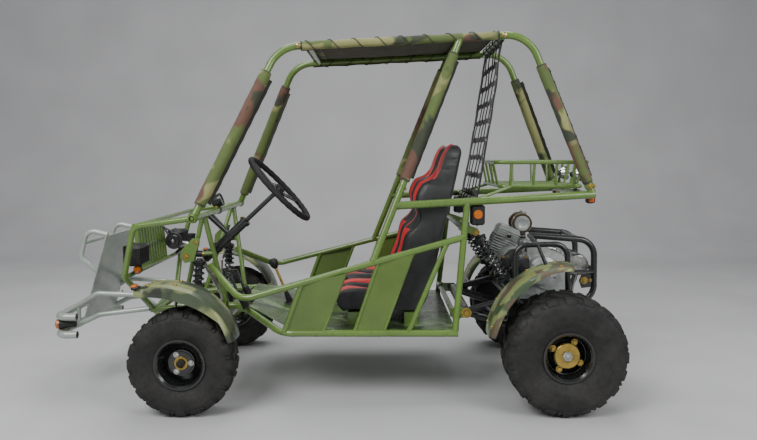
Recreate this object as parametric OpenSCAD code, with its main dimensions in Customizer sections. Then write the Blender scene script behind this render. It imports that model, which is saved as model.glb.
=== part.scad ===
// Off-road two-seat racing kart: tube chassis, padded roll cage, rear engine on a swing arm.
// Millimetres. X points forward, Y to the left, Z up; the origin is on the ground under the middle.

/* [Overall] */
// front axle to rear axle
wheelbase = 1676; // [1620:4:1740]
// front axle to the front face of the bumper
bumper_reach = 702; // [680:2:730]

/* [Wheels] */
// front tyre outside diameter
front_tyre_d = 472; // [462:2:482]
// front tyre width
front_tyre_w = 178; // [165:1:185]
// rear tyre outside diameter
rear_tyre_d = 536; // [524:2:548]
// rear tyre width
rear_tyre_w = 254; // [240:1:260]
// distance between the front wheel centres
front_track = 1160; // [1150:5:1200]
// distance between the rear wheel centres
rear_track = 1110; // [1100:5:1160]
// rim bead seat diameter
rim_d = 203; // [198:1:208]

/* [Frame] */
// front end of the frame's own datum, ahead of the front axle
frame_front = 12; // [0:1:20]
// rear end of the frame's own datum, behind the rear axle
frame_rear = 22; // [10:1:30]
// height of the lower rails
floor_z = 332; // [326:1:340]
// half width across the lower rails
cabin_y = 480; // [470:1:490]
// half width across the dash bar
dash_y = 530; // [520:1:540]
// height of the dash bar
dash_z = 859; // [845:1:870]
// half width across the roof rails
roof_y = 310; // [300:1:330]
// height of the roof at its front
roof_z = 1634; // [1600:2:1680]
// rise of the roof towards the rear
roof_rise = 58; // [40:1:70]
// height of the rear deck rails at the main hoop
deck_z = 908; // [900:1:920]
// main tube radius
rail_r = 16; // [15:0.5:18]
// cage tube radius
cage_r = 17; // [16.5:0.5:19]
// cross tube radius
cross_r = 13; // [11:0.5:14]
// bend radius of the cage
cage_bend = 150; // [120:5:170]
// outside radius of the padded sleeves
pad_r = 27; // [25:0.5:29]

/* [Steering] */
// steering wheel radius to the middle of the grip
wheel_r = 192; // [170:1:200]
// steering wheel grip radius
grip_r = 14; // [11:0.5:16]
// steering arm length behind the kingpin
arm_l = 100; // [90:1:110]

/* [Fits] */
// running clearance of a shaft in its bore
run_gap = 0.06; // [0.03:0.01:0.1]
// clearance of a sleeve on its tube
sleeve_gap = 0.3; // [0.2:0.1:0.5]

/* [Hidden] */
$fn = 48;
front_r = front_tyre_d / 2;
rear_r = rear_tyre_d / 2;
x_front = (wheelbase + rear_r - bumper_reach) / 2;
x_rear = x_front - wheelbase;
x_deck = x_rear - frame_rear;
rim_r = rim_d / 2;
front_y = front_track / 2;
rear_y = rear_track / 2;
kingpin_y = front_y - 130;

// points measured from the front and rear axle, and from the frame's front and rear datum
function wf(dx, y, z) = [x_front + dx, y, z];
function wr(dx, y, z) = [x_rear + dx, y, z];
function fr(dx, y, z) = wf(frame_front + dx, y, z);
function re(dx, y, z) = wr(dx - frame_rear, y, z);
function mix(a, b, t) = a + (b - a) * t;
function unit(v) = v / norm(v);
function right(p) = [p.x, -p.y, p.z];
function at_z(a, b, z) = mix(a, b, (z - a.z) / (b.z - a.z));
function at_x(a, b, x) = mix(a, b, (x - a.x) / (b.x - a.x));

// lower rail, from the rear to the nose
low_rear = re(480, cabin_y, floor_z);
low_front = fr(-431, cabin_y, floor_z);
low_ramp = fr(-200, 240, floor_z + 80);
low_nose = fr(250, 200, floor_z + 50);
// roll cage
a_base = fr(-53, dash_y, dash_z);
roof_front = fr(-410, roof_y, roof_z);
roof_rear = re(150, roof_y, roof_z + roof_rise);
c_base = re(-150, 360, deck_z + 48);
// rear deck and posts
deck_rear = re(-160, 360, deck_z + 48);
post_low = re(494, cabin_y, floor_z);
post_top = re(436, 409, deck_z + 17);
// door rail
door_low = fr(-257, dash_y, 494);
door_rear = at_z(post_low, post_top, 764);
door_front = fr(-72, 306, 614);
// main hoop leg
b_base = at_x(door_low, door_rear, x_deck + 869);
b_top = at_x(roof_front, roof_rear, x_deck + 464);
deck_front = at_z(b_base, b_top, deck_z);
// hood
hood_front = fr(224, 495, dash_z - 40);
hood_low = fr(285, 455, 584);
// engine guard, hitch plate and tow eye
guard_y = 352;
hitch_r = 9.5;
hitch_t = 12;
tow_r = 10;
tow_t = 12;
tow_eye = fr(285, 0, floor_z + 4);
// suspension
arm_in_y = 262;
arm_up_in = floor_z + 82;
arm_low_in = floor_z - 53;
arm_up_out = front_r + 85;
arm_low_out = front_r - 45;
tie_z = front_r + 103;
tie_x = -arm_l;
shock_top = fr(-25, 322, 674);
shock_low = wf(0, 392, front_r + 21);
rear_shock_top = re(385, 300, 774);
rear_shock_low = re(195, 300, 479);
pivot = re(425, 300, 394);
// seats
seat_y = 217;
seat_w = 344;
// steering column
wheel_mid = fr(-393, seat_y + 8, 976);
column_dir = unit([0.73, 0, -0.683]);

module bar(a, b, r) {
    d = b - a;
    translate(a) rotate([0, acos(d.z / norm(d)), atan2(d.y, d.x)]) cylinder(h = norm(d), r = r);
}

module ball(p, r) {
    translate(p) sphere(r = r);
}

module elbow(p, u, w, r, bend) {
    turn = acos(u * w);
    n = unit(w - u * (u * w));
    c = p - u * bend * tan(turn / 2) + n * bend;
    k = cross(-n, u);
    multmatrix([[-n.x, u.x, k.x, c.x], [-n.y, u.y, k.y, c.y], [-n.z, u.z, k.z, c.z], [0, 0, 0, 1]])
        rotate_extrude(angle = turn) translate([bend, 0]) circle(r = r);
}

// bent tube through the points p; a low weld ring closes each end of a bend
weld_h = 0.6;
weld_l = 5;
weld_gap = 0.05;
module pipe(p, r, bend) {
    last = len(p) - 1;
    function way(i) = unit(p[i + 1] - p[i]);
    function cut(i) = i == 0 || i == last ? 0 : bend * tan(acos(way(i - 1) * way(i)) / 2) + weld_gap;
    for (i = [0 : last - 1]) {
        a = p[i] + way(i) * cut(i);
        b = p[i + 1] - way(i) * cut(i + 1);
        bar(a, b, r);
        if (i > 0)
            bar(a - way(i) * weld_l, a + way(i) * weld_l, r + weld_h);
        if (i < last - 1)
            bar(b - way(i) * weld_l, b + way(i) * weld_l, r + weld_h);
    }
    if (last > 1)
        for (i = [1 : last - 1])
            elbow(p[i], way(i - 1), way(i), r, bend);
}

// closed ring of tube with a bend at every point
module ring(p, r, bend) {
    n = len(p);
    function way(i) = unit(p[(i + 1) % n] - p[i % n]);
    function cut(i) = bend * tan(acos(way(i + n - 1) * way(i)) / 2) + weld_gap;
    for (i = [0 : n - 1]) {
        a = p[i] + way(i) * cut(i);
        b = p[(i + 1) % n] - way(i) * cut(i + 1);
        bar(a, b, r);
        bar(a - way(i) * weld_l, a + way(i) * weld_l, r + weld_h);
        bar(b - way(i) * weld_l, b + way(i) * weld_l, r + weld_h);
        elbow(p[i], way(i + n - 1), way(i), r, bend);
    }
}

module both() {
    children();
    mirror([0, 1, 0]) children();
}

module block(p, size) {
    translate(p) cube(size, center = true);
}

// cylinder along Y from y0 to y1
module across(p, y0, y1, r) {
    translate([p.x, y0, p.z]) rotate([-90, 0, 0]) cylinder(h = y1 - y0, r = r);
}

// cross bar between a point and its mirror image
module cross_bar(p, r) {
    across(p, -abs(p.y), abs(p.y), r);
}

// flat sheet through four points, the last one near the plane of the others
module sheet(a, b, c, d, t) {
    u = unit(b - a);
    n = unit(cross(u, d - a));
    v = cross(n, u);
    function flat(p) = [(p - a) * u, (p - a) * v];
    multmatrix([[u.x, v.x, n.x, a.x], [u.y, v.y, n.y, a.y], [u.z, v.z, n.z, a.z], [0, 0, 0, 1]])
        linear_extrude(t, center = true) polygon([flat(a), flat(b), flat(c), flat(d)]);
}

seat_bars = [690, 960];
module lower_frame() {
    color("green") {
        both() {
            pipe([low_rear, low_front, low_ramp, low_nose], rail_r, 120);
            for (dx = [-118, 118])
                difference() {
                    block(wf(dx, 240, 346), [8, 56, 176]);
                    block(wf(dx, 198, 264), [20, 60, 150]);
                }
        }
        cross_bar(low_rear + [24, 0, 0], cross_r);
        for (dx = seat_bars)
            cross_bar(re(dx, cabin_y, floor_z), cross_r);
        cross_bar(low_front - [30, 0, 0], cross_r);
        cross_bar(at_x(low_ramp, low_nose, x_front - 150), cross_r);
        cross_bar(at_x(low_ramp, low_nose, x_front + 225), cross_r);
    }
}

// posts of the door side: place along the top rail, place along the lower rail, radius
posts = [[0.269, 0.01, 12], [0.468, 0.231, 8], [0.612, 0.409, 8], [0.770, 0.575, 8], [0.925, 0.715, 12]];
function post_hi(i) = mix(door_low, door_rear, posts[i][0]);
function post_lo(i) = mix(low_front, low_rear, posts[i][1]);

module side_frame() {
    color("green") {
        pipe([door_rear, door_low, door_front], 15, 90);
        for (i = [0 : len(posts) - 1])
            bar(post_hi(i), post_lo(i), posts[i][2]);
    }
}

module door_panels() {
    color("olive")
        both()
            for (i = [0, 2])
                sheet(mix(post_lo(i), post_hi(i), 0.04), mix(post_lo(i + 1), post_hi(i + 1), 0.04),
                    mix(post_lo(i + 1), post_hi(i + 1), 0.97), mix(post_lo(i), post_hi(i), 0.97), 4);
}

floor_top = floor_z + cross_r;
module floor_pan() {
    color("olive") {
        translate([0, 0, floor_top - 1]) linear_extrude(4)
            polygon([[low_rear.x + 10, cabin_y - 12], [low_front.x - 40, cabin_y - 12],
                [low_front.x - 40, 12 - cabin_y], [low_rear.x + 10, 12 - cabin_y]]);
        a = [low_front.x - 42, cabin_y - 30, floor_top + 1];
        b = [low_ramp.x, 250, floor_z + 96];
        sheet(right(a), a, b, right(b), 4);
    }
}

// hood rail of one side, and the struts that carry the dash bar and the shock
module hood_rail() {
    color("green") {
        pipe([a_base, hood_front, hood_low, low_nose + [-8, 0, 6]], 13.5, 55);
        bar(fr(-53, 330, dash_z), at_x(low_ramp, low_nose, x_front - 118), 12);
        bar(fr(-42, 326, dash_z - 14), at_x(low_ramp, low_nose, x_front + 100), 11);
        bar(fr(-82, 292, 674), shock_top + [-8, 0, 0], 10);
        bar(fr(20, 290, 674), shock_top + [8, 0, 0], 9);
    }
}

// cross bars of the nose, and the tow eye
module front_frame() {
    color("green") {
        cross_bar(a_base, 16);
        both() ball(a_base, 22);
        cross_bar(fr(222, 492, dash_z - 39), 11);
        cross_bar(fr(287, 453, 581), 11);
        difference() {
            union() {
                across(tow_eye, -tow_t / 2, tow_t / 2, 24);
                translate([0, tow_t / 2, 0]) rotate([90, 0, 0]) linear_extrude(tow_t)
                    polygon([[tow_eye.x - 50, floor_z + 60], [tow_eye.x - 24, floor_z + 60],
                        [tow_eye.x + 22, tow_eye.z + 8], [tow_eye.x - 18, tow_eye.z - 15]]);
            }
            across(tow_eye, -tow_t, tow_t, tow_r);
        }
        cross_bar(fr(243, 196, floor_z + 52), 10);
    }
}

module rear_frame() {
    color("green") {
        both() {
            bar(deck_front, deck_rear, 18);
            bar(at_x(deck_front, deck_rear, post_top.x), post_low, 15);
            bar(at_z(post_low, post_top, 394) - [0, 4, 0], pivot + [30, 60, 0], 12);
        }
        cross_bar(at_x(deck_front, deck_rear, x_deck - 140), 14);
        cross_bar(at_x(deck_front, deck_rear, x_deck + 385), 13);
        cross_bar(at_z(post_low, post_top, 796), 12.5);
        cross_bar(at_z(post_low, post_top, 394), 13);
    }
}

module cage_side() {
    color("green") {
        pipe([mix(a_base, roof_front, 0.02), roof_front, roof_rear, c_base], cage_r, cage_bend);
        bar(b_base, b_top, 16);
    }
}

// places along the roof rail that carry a cross bar
roof_bars = [0.12, 0.727, 0.9];
module cage_bars() {
    color("green")
        for (t = roof_bars)
            cross_bar(mix(roof_front, roof_rear, t) + [0, 0, -1], cross_r);
}

// padded sleeves: ends of the tube, start and end along it, tube radius, sleeve radius
pads = [[a_base, roof_front, 0.07, 0.85, cage_r, pad_r], [b_base, b_top, 0.36, 0.93, 16, pad_r - 3],
    [roof_rear, c_base, 0.19, 0.93, cage_r, pad_r - 2]];
module pillar_pads() {
    color("olive")
        both()
            for (p = pads)
                difference() {
                    bar(mix(p[0], p[1], p[2]), mix(p[0], p[1], p[3]), p[5]);
                    bar(mix(p[0], p[1], p[2] - 0.02), mix(p[0], p[1], p[3] + 0.02), p[4] + sleeve_gap);
                }
}

// cloth roof: profile across the rails, wrapped round the outer side of each
wrap_end = 200;
wrap_t = 4;
wrap_in = cage_r + sleeve_gap;
function wrap(r, a) = [roof_y + r * sin(a), r * cos(a)];
wrap_out = [for (a = [0 : 10 : wrap_end]) wrap(wrap_in + wrap_t, a)];
wrap_back = [for (a = [wrap_end : -10 : 0]) wrap(wrap_in, a)];
half_wrap = concat(wrap_out, wrap_back);
function flip(v) = [for (i = [len(v) - 1 : -1 : 0]) [-v[i].x, v[i].y]];
module roof_canopy() {
    a = mix(roof_front, roof_rear, 0.09);
    b = mix(roof_front, roof_rear, 0.88);
    u = unit(b - a);
    color("olive")
        difference() {
            multmatrix([[0, -u.z, u.x, a.x], [1, 0, 0, 0], [0, -u.x, u.z, a.z], [0, 0, 0, 1]])
                linear_extrude(norm(b - a)) polygon(concat(half_wrap, flip(half_wrap)));
            both() bar(b_base, b_top, 21);
        }
}

net_top = at_x(roof_front, roof_rear, x_deck + 265);
net_low = at_x(deck_front, deck_rear, x_deck + 385);
net_rows = 8;
net_columns = 4;
net_pitch = 118;
net_band = 12;
module rear_net() {
    low = [net_low.x - 6, 0, net_low.z + 6];
    high = [net_top.x, 0, net_top.z - 6];
    long = norm(high - low);
    v = unit(high - low);
    row = long / net_rows;
    color("black")
        multmatrix([[0, v.x, v.z, low.x], [1, 0, 0, 0], [0, v.z, -v.x, low.z], [0, 0, 0, 1]])
            difference() {
                linear_extrude(5, center = true) polygon([[-300, 0], [300, 0], [270, long], [-270, long]]);
                for (i = [0 : net_rows - 1], k = [0 : net_columns - 1])
                    translate([(k - (net_columns - 1) / 2) * net_pitch, (i + 0.5) * row, 0])
                        cube([net_pitch - net_band, row - net_band, 20], center = true);
            }
}

bar_x = bumper_reach - frame_front - 18 - weld_h;
module front_bumper() {
    color("silver") {
        for (z = [279, 366])
            pipe([fr(bar_x - 95, 300, z), fr(bar_x, 300, z), fr(bar_x, -300, z), fr(bar_x - 95, -300, z)], 18, 45);
        both() {
            pipe([fr(bar_x - 6, 215, 366), fr(505, 215, 464), fr(300, 205, 454), fr(230, 200, floor_z + 66)], 13, 40);
            pipe([fr(bar_x - 6, 215, 279), fr(500, 215, 359), fr(258, 202, floor_z + 54)], 12.5, 40);
            bar(fr(bar_x - 70, 215, 299), fr(bar_x - 70, 215, 399), 10);
            pipe([fr(458, 185, 749), fr(560, 185, 774), fr(595, 185, 634), fr(512, 185, 564)], 12, 45);
        }
        across(fr(577, 0, 709), -185, 185, 11);
    }
}

module bumper_shield() {
    color("silver")
        sheet(fr(460, 205, 744), fr(460, -205, 744), fr(582, -215, 319), fr(582, 215, 319), 5);
}

module grille() {
    lean = atan2(22, 240);
    color("green")
        translate(fr(295, 0, 577)) rotate([0, lean, 0]) {
            for (y = [-205 : 41 : 205])
                translate([0, y, 112]) cube([16, 10, 226], center = true);
            for (z = [4, 112, 220])
                translate([0, 0, z]) cube([12, 424, 12], center = true);
            both() translate([-4, 160, 220]) rotate([0, -78, 0]) cylinder(h = 92, r = 6);
        }
}

lamp_mid = fr(262, 345, 674);
module headlamps() {
    color("black")
        both() {
            block(lamp_mid, [76, 150, 96]);
            bar(lamp_mid + [-20, 0, -40], lamp_mid + [26, 0, -93], 8);
        }
}

module marker_lamps() {
    color("orange")
        both()
            translate(fr(bar_x - 75, 262, 323)) rotate([0, 90, 0]) {
                cylinder(h = 80, r1 = 18, r2 = 26);
                translate([0, 0, 80]) cylinder(h = 14, r = 26);
                translate([-26, 0, 66]) cylinder(h = 10, r = 6);
            }
}

rack_z = deck_z + 196;
rack_h = 115;
rack_front = 285;
rack_rear = -150;
rack_inset = 25;
rack_y = 290;
rack_floor = rack_z - rack_h;
// corners of a level rectangle on the rear deck: front, rear, half width, height
function deck_ring(f, r, y, z) = [re(f, y, z), re(r, y, z), re(r, -y, z), re(f, -y, z)];
module rear_rack() {
    f = rack_front - rack_inset;
    r = rack_rear + rack_inset;
    y_low = rack_y - rack_inset;
    color("green") {
        ring(deck_ring(rack_front, rack_rear, rack_y, rack_z), 9.5, 40);
        ring(deck_ring(f, r, y_low, rack_floor), 9, 30);
        both() {
            for (dx = [215, 105, 0, -85])
                bar(re(dx, rack_y, rack_z), re(dx, y_low, rack_floor), 6.5);
            for (y = [60, 180]) {
                bar(re(rack_front, y, rack_z), re(f, y, rack_floor), 6);
                bar(re(rack_rear, y, rack_z), re(r, y, rack_floor), 6);
                bar(re(f, y, rack_floor), re(r, y, rack_floor), 5.5);
            }
            bar(re(f - 50, y_low, rack_floor), re(385, 345, deck_z + 24), 7.5);
            bar(re(r, 120, rack_floor), re(-140, 120, deck_z + 49), 7.5);
        }
    }
}

module rear_lamps() {
    color("red")
        both() {
            block(re(-150, 318, deck_z + 22), [34, 46, 36]);
            translate(re(-110, 150, rack_z - 60)) rotate([0, -90, 0]) {
                cylinder(h = 52, r1 = 14, r2 = 38);
                translate([0, 0, 52]) cylinder(h = 8, r = 38);
            }
            bar(re(-122, 150, rack_z - 70), re(-132, 150, deck_z + 54), 6);
        }
}

module seat() {
    color("black")
        translate([x_deck, seat_y, floor_top]) rotate([90, 0, 0]) {
            linear_extrude(seat_w - 60, center = true)
                polygon([[1010, 60], [1030, 120], [1000, 148], [760, 108], [715, 150], [520, 800], [490, 838],
                    [455, 836], [440, 800], [600, 130], [650, 60]]);
            for (s = [-1, 1])
                translate([0, 0, s * (seat_w / 2 - 26)]) linear_extrude(52, center = true)
                    polygon([[980, 66], [1010, 130], [985, 175], [840, 185], [775, 260], [640, 640], [560, 640],
                        [490, 590], [585, 140], [650, 66]]);
        }
}

module seats() {
    both() seat();
}

module seat_mounts() {
    color("green")
        both()
            for (dx = [690, 955])
                block(re(dx, seat_y, floor_top + 31), [60, 320, 60]);
}

module pedals() {
    color("black")
        for (y = [175, 320]) {
            bar(fr(-215, y, floor_z + 118), fr(-168, y, floor_z + 240), 7);
            translate(fr(-222, y, floor_z + 118)) rotate([0, 25, 0]) cube([12, 62, 78], center = true);
            bar(fr(-168, y, floor_z + 240), fr(-140, y < 200 ? 262 : 300, floor_z + 250), 6);
        }
}

module shift_lever() {
    color("black") {
        bar(fr(-421, 0, floor_top + 1), fr(-330, 0, floor_top + 225), 7);
        ball(fr(-330, 0, floor_top + 238), 24);
        block(fr(-425, 0, floor_top + 18), [110, 60, 34]);
    }
}

// frame with Z down the steering column from the middle of the wheel
module on_column() {
    d = column_dir;
    multmatrix([[-d.z, 0, d.x, wheel_mid.x], [0, 1, 0, wheel_mid.y], [d.x, 0, d.z, wheel_mid.z], [0, 0, 0, 1]])
        children();
}

shaft_r = 11;
shaft_l = 500;
module steering_wheel() {
    color("black")
        on_column() {
            rotate_extrude() translate([wheel_r, 0]) circle(r = grip_r);
            for (a = [0, 120, 240])
                rotate([0, 0, a]) translate([0, 0, 12]) rotate([0, 93.5, 0]) cylinder(h = wheel_r, r = 8);
            translate([0, 0, -4]) cylinder(h = 34, r = 44);
        }
}

module steering_shaft() {
    color("black")
        on_column() {
            translate([0, 0, 30]) cylinder(h = shaft_l - 30, r = shaft_r);
            translate([0, 0, shaft_l - 40]) cylinder(h = 40, r = 19);
        }
}

module steering_column() {
    color("black") {
        difference() {
            union() {
                on_column() translate([0, 0, 225]) cylinder(h = shaft_l - 300, r = 22);
                bar(fr(-52, 250, dash_z - 8), wheel_mid + column_dir * (shaft_l - 170), 12);
                bar(fr(-52, 190, dash_z - 8), wheel_mid + column_dir * (shaft_l - 170), 10);
            }
            on_column() translate([0, 0, 200]) cylinder(h = shaft_l - 250, r = shaft_r + run_gap);
        }
    }
}

rack_r = 11;
module rack_housing() {
    color("gray") {
        difference() {
            union() {
                across(wf(tie_x, 0, tie_z), -130, 130, 24);
                bar(wf(tie_x - 8, 90, tie_z + 12), wheel_mid + column_dir * (shaft_l + 14), 10);
                on_column() translate([0, 0, shaft_l + 8]) cylinder(h = 34, r = 17);
                for (y = [-80, 80])
                    bar(wf(tie_x, y, tie_z + 10), wf(-150, y, floor_z + 75), 12);
            }
            across(wf(tie_x, 0, tie_z), -150, 150, rack_r + run_gap);
        }
    }
}

module tie_rods() {
    color("gray") {
        across(wf(tie_x, 0, tie_z), -200, 200, rack_r);
        both() {
            across(wf(tie_x, 0, tie_z), 190, kingpin_y - 30, 8);
            translate(wf(tie_x, kingpin_y - 20, tie_z - 9)) cylinder(h = 18, r = 15);
        }
    }
}

// one wishbone: inner height, outer height
module wishbone(z_in, z_out) {
    difference() {
        union() {
            bar(wf(-113.5, arm_in_y, z_in), wf(113.5, arm_in_y, z_in), 13);
            for (dx = [-95, 95])
                bar(wf(dx, arm_in_y, z_in), wf(0, kingpin_y, z_out), 10.5);
            translate(wf(0, kingpin_y, z_out - 13)) cylinder(h = 26, r = 19);
        }
        translate(wf(0, kingpin_y, z_out - 40)) cylinder(h = 80, r = 9 + run_gap);
        translate(wf(0, kingpin_y, z_out + 13)) cylinder(h = 60, r = 24);
    }
}

module front_arms() {
    color("green")
        both() {
            wishbone(arm_up_in, arm_up_out);
            wishbone(arm_low_in, arm_low_out);
            bar(wf(-48, shock_low.y - 14, shock_low.z - 22), wf(48, shock_low.y - 14, shock_low.z - 22), 9);
        }
}

// coil-over: top, bottom, spring radius
module coil_over(top, low, r) {
    n = 9;
    bar(top, low, r * 0.45);
    bar(mix(top, low, 0.1), mix(top, low, 0.72), r * 0.86);
    for (i = [0 : n - 1]) {
        p = mix(top, low, 0.13 + 0.56 * i / (n - 1));
        d = unit(low - top) * 4.5;
        bar(p - d, p + d, r);
    }
    for (p = [top, low])
        translate(p) rotate([0, 90, 0]) cylinder(h = 26, r = r * 0.55, center = true);
}

module front_shocks() {
    color("black") both() coil_over(shock_top, shock_low, 27);
}

module rear_shocks() {
    color("black") both() coil_over(rear_shock_top, rear_shock_low, 32);
}

// fender on the knuckle, with its two stays
fender_mid = wf(64, front_y + 8, front_r + 40);
fender_r = 312;
fender_stays = [-61, 61];
function stay_elbow(dx) = wf(dx, kingpin_y + 18, front_r + 290);
function under_fender(dx) = fender_mid.z + sqrt(pow(fender_r - 4, 2) - pow(x_front + dx - fender_mid.x, 2));
module fender_stay(dx) {
    bar(stay_elbow(dx), wf(dx, front_y + 40, under_fender(dx) - 3), 6);
}

module knuckle() {
    color("gray") {
        translate(wf(0, kingpin_y, arm_low_out - 13)) cylinder(h = arm_up_out - arm_low_out + 26, r = 9);
        translate(wf(0, kingpin_y, arm_low_out + 17)) cylinder(h = arm_up_out - arm_low_out - 34, r = 17);
        across(wf(0, 0, front_r), kingpin_y, front_y + 46, 12);
        across(wf(0, 0, front_r), kingpin_y, kingpin_y + 26, 24);
        bar(wf(0, kingpin_y, tie_z - 52), wf(tie_x, kingpin_y - 20, tie_z - 24), 8);
        translate(wf(tie_x, kingpin_y - 20, tie_z - 34)) cylinder(h = 19, r = 15);
        bar(wf(-82, kingpin_y + 14, front_r + 8), wf(82, kingpin_y + 14, front_r + 8), 9.5);
        for (dx = fender_stays) {
            bar(wf(dx * 1.1, kingpin_y + 14, front_r + 8), stay_elbow(dx), 7);
            ball(stay_elbow(dx), 8);
            fender_stay(dx);
        }
    }
}

// part of a ring about Y: middle, inner and outer radius, half width, start and end angle from +X
module arc_band(p, r0, r1, w, a0, a1) {
    translate(p) rotate([90, 0, 0]) rotate([0, 0, a0]) rotate_extrude(angle = a1 - a0)
        translate([r0, -w / 2]) square([r1 - r0, w]);
}

module front_fender() {
    color("olive")
        difference() {
            arc_band(fender_mid, fender_r - 4, fender_r, 190, 66, 168);
            for (dx = fender_stays)
                fender_stay(dx);
        }
}

rear_fender_mid = wr(-15, rear_y - 40, rear_r + 45);
rear_fender_r = rear_r + 79;
function on_rear_fender(a, dy) =
    rear_fender_mid + [cos(a) * (rear_fender_r - 3), dy, sin(a) * (rear_fender_r - 3)];
module rear_fenders() {
    color("olive")
        both() {
            arc_band(rear_fender_mid, rear_fender_r - 5, rear_fender_r, 190, 4, 93);
            bar(rear_fender_mid + [322, 300 - rear_fender_mid.y, 104], on_rear_fender(21, 60), 8);
            bar(rear_fender_mid + [92, guard_y - rear_fender_mid.y, 409], on_rear_fender(76, -20), 8);
        }
}

// half profile of a tyre: outside radius, width, bead radius
function tyre_half(r, w, b) = [[b, 0], [b, w * 0.40], [b + 14, w * 0.405], [mix(b, r, 0.35), w * 0.49],
    [mix(b, r, 0.55), w * 0.5], [mix(b, r, 0.72), w * 0.49], [r - 22, w * 0.465], [r - 9, w * 0.42],
    [r - 2, w * 0.33], [r, w * 0.2], [r, 0]];

// tread blocks on each shoulder, their height, and the share of the way round that is groove
tread_n = 16;
tread_h = 11;
groove = 0.42;
module tyre(p, r, w) {
    h = tyre_half(r, w, rim_r + sleeve_gap);
    m = [for (i = [len(h) - 2 : -1 : 1]) [h[i][0], -h[i][1]]];
    step = 360 / tread_n;
    color("black") translate(p) rotate([-90, 0, 0])
        difference() {
            rotate_extrude($fn = 96) polygon(concat(h, m));
            for (i = [0 : tread_n - 1], s = [-1, 1])
                rotate([0, 0, (i + s / 4) * step]) translate([r - tread_h + 20, 0, s * w * 0.32])
                    cube([40, groove * step * PI / 180 * r, w * 0.4], center = true);
        }
}

// rim with its disc towards +Y: middle, tyre width, bore radius
module rim(p, w, bore, disc) {
    b = w * 0.40;
    color("black") translate(p) rotate([-90, 0, 0])
        rotate_extrude($fn = 96) polygon([[bore, disc - 14], [bore, disc + 20], [58, disc + 20], [62, disc + 6],
            [rim_r - 14, disc - 8], [rim_r - 6, b - 2], [rim_r + 2, b + 7], [rim_r + 10, b + 8], [rim_r + 10, b + 1],
            [rim_r, b + 0.5], [rim_r, -b - 0.5], [rim_r + 10, -b - 1], [rim_r + 10, -b - 8], [rim_r + 2, -b - 7],
            [rim_r - 6, 2 - b], [rim_r - 6, disc - 20], [60, disc - 8], [52, disc - 14]]);
}

module front_rim() {
    rim(wf(0, front_y, front_r), front_tyre_w, 12 + run_gap, 18);
}

module rear_rim() {
    rim(wr(0, rear_y, rear_r), rear_tyre_w, 20.3, 40);
}

axle_bearing = 250;
module rear_axle() {
    color("gray") {
        across(wr(0, 0, rear_r), -rear_y - 66, rear_y + 66, 20);
        across(wr(0, 0, rear_r), chain_y - 4, chain_y + 4, 100);
        across(wr(0, 0, rear_r), chain_y - 14, chain_y + 14, 36);
        across(wr(0, 0, rear_r), 120, 125, 92);
        across(wr(0, 0, rear_r), 108, 137, 36);
        both() across(wr(0, 0, rear_r), rear_y + 60.3, rear_y + 72, 54);
    }
}

module swing_arm() {
    color("black") {
        difference() {
            union() {
                both() {
                    across(wr(0, 0, rear_r), axle_bearing - 30, axle_bearing + 30, 46);
                    bar(pivot, wr(0, axle_bearing, rear_r + 4), 21);
                    bar(pivot, rear_shock_low - [0, 0, 24], 17);
                    bar(rear_shock_low - [0, 0, 24], wr(8, axle_bearing, rear_r + 30), 16);
                    ball(rear_shock_low - [0, 0, 24], 20);
                }
                cross_bar(pivot, 23);
                cross_bar(re(195, guard_y, 440), 15);
                cross_bar(re(40, 260, 404), 14);
                both() bar(re(195, 105, 437), re(-140, 105, 410), 13);
                cross_bar(re(-130, 170, 412), 14);
                block(re(-168, 0, 412), [64, 60, hitch_t]);
            }
            across(wr(0, 0, rear_r), -320, 320, 20 + run_gap);
            translate(re(-178, 0, 374)) cylinder(h = 80, r = hitch_r);
        }
    }
}

module engine_block() {
    color("silver") {
        block(re(45, 0, 534), [290, 280, 190]);
        across(re(-10, 0, 564), -139, 150, 96);
        across(re(35, 0, 574), 100, 205, 70);
        across(re(180, 0, 614), 60, 225, 74);
        both() block(re(30, 105, 436), [260, 50, 30]);
    }
}

module engine_cylinder() {
    color("silver")
        translate(re(255, 55, 584)) rotate([0, -22, 0]) {
            cylinder(h = 190, r = 48);
            for (z = [36 : 13 : 140])
                translate([0, 0, z]) cube([122, 128, 5], center = true);
            translate([0, 0, 172]) cube([110, 112, 46], center = true);
        }
}

air_mid = re(118, 30, 795);
module air_cleaner() {
    color("brown") {
        across(air_mid, -30, 85, 50);
        across(air_mid, 85, 93, 38);
        bar(air_mid - [8, 0, 25], air_mid - [23, 0, 173], 17);
    }
}

module exhaust() {
    color("silver") {
        across(re(-158, 0, 589), -148, 130, 48);
        pipe([re(-158, -130, 599), re(-158, -205, 614), re(30, -205, 664), re(190, -110, 674),
            re(195, 22, 664)], 16, 45);
        both() bar(re(-158, 80, 550), re(-132, 80, 418), 10);
    }
}

chain_y = -165;
chain_w = 42;
module chain_case() {
    a = chain_y - chain_w / 2;
    b = chain_y + chain_w / 2;
    color("black")
        difference() {
            union() {
                across(wr(0, 0, rear_r), a, b, 116);
                across(re(150, 0, 504), a, b, 62);
                translate([0, chain_y, 0]) rotate([90, 0, 0]) linear_extrude(chain_w, center = true)
                    polygon([[x_rear - 95, rear_r + 66], [x_deck + 105, 548], [x_deck + 200, 468],
                        [x_rear + 66, rear_r - 94]]);
                across(re(150, 0, 504), b - 2, b + 12, 40);
            }
            across(wr(0, 0, rear_r), a + 6, b - 6, 108);
            across(wr(0, 0, rear_r), a - 10, b + 10, 42);
        }
}

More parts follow.
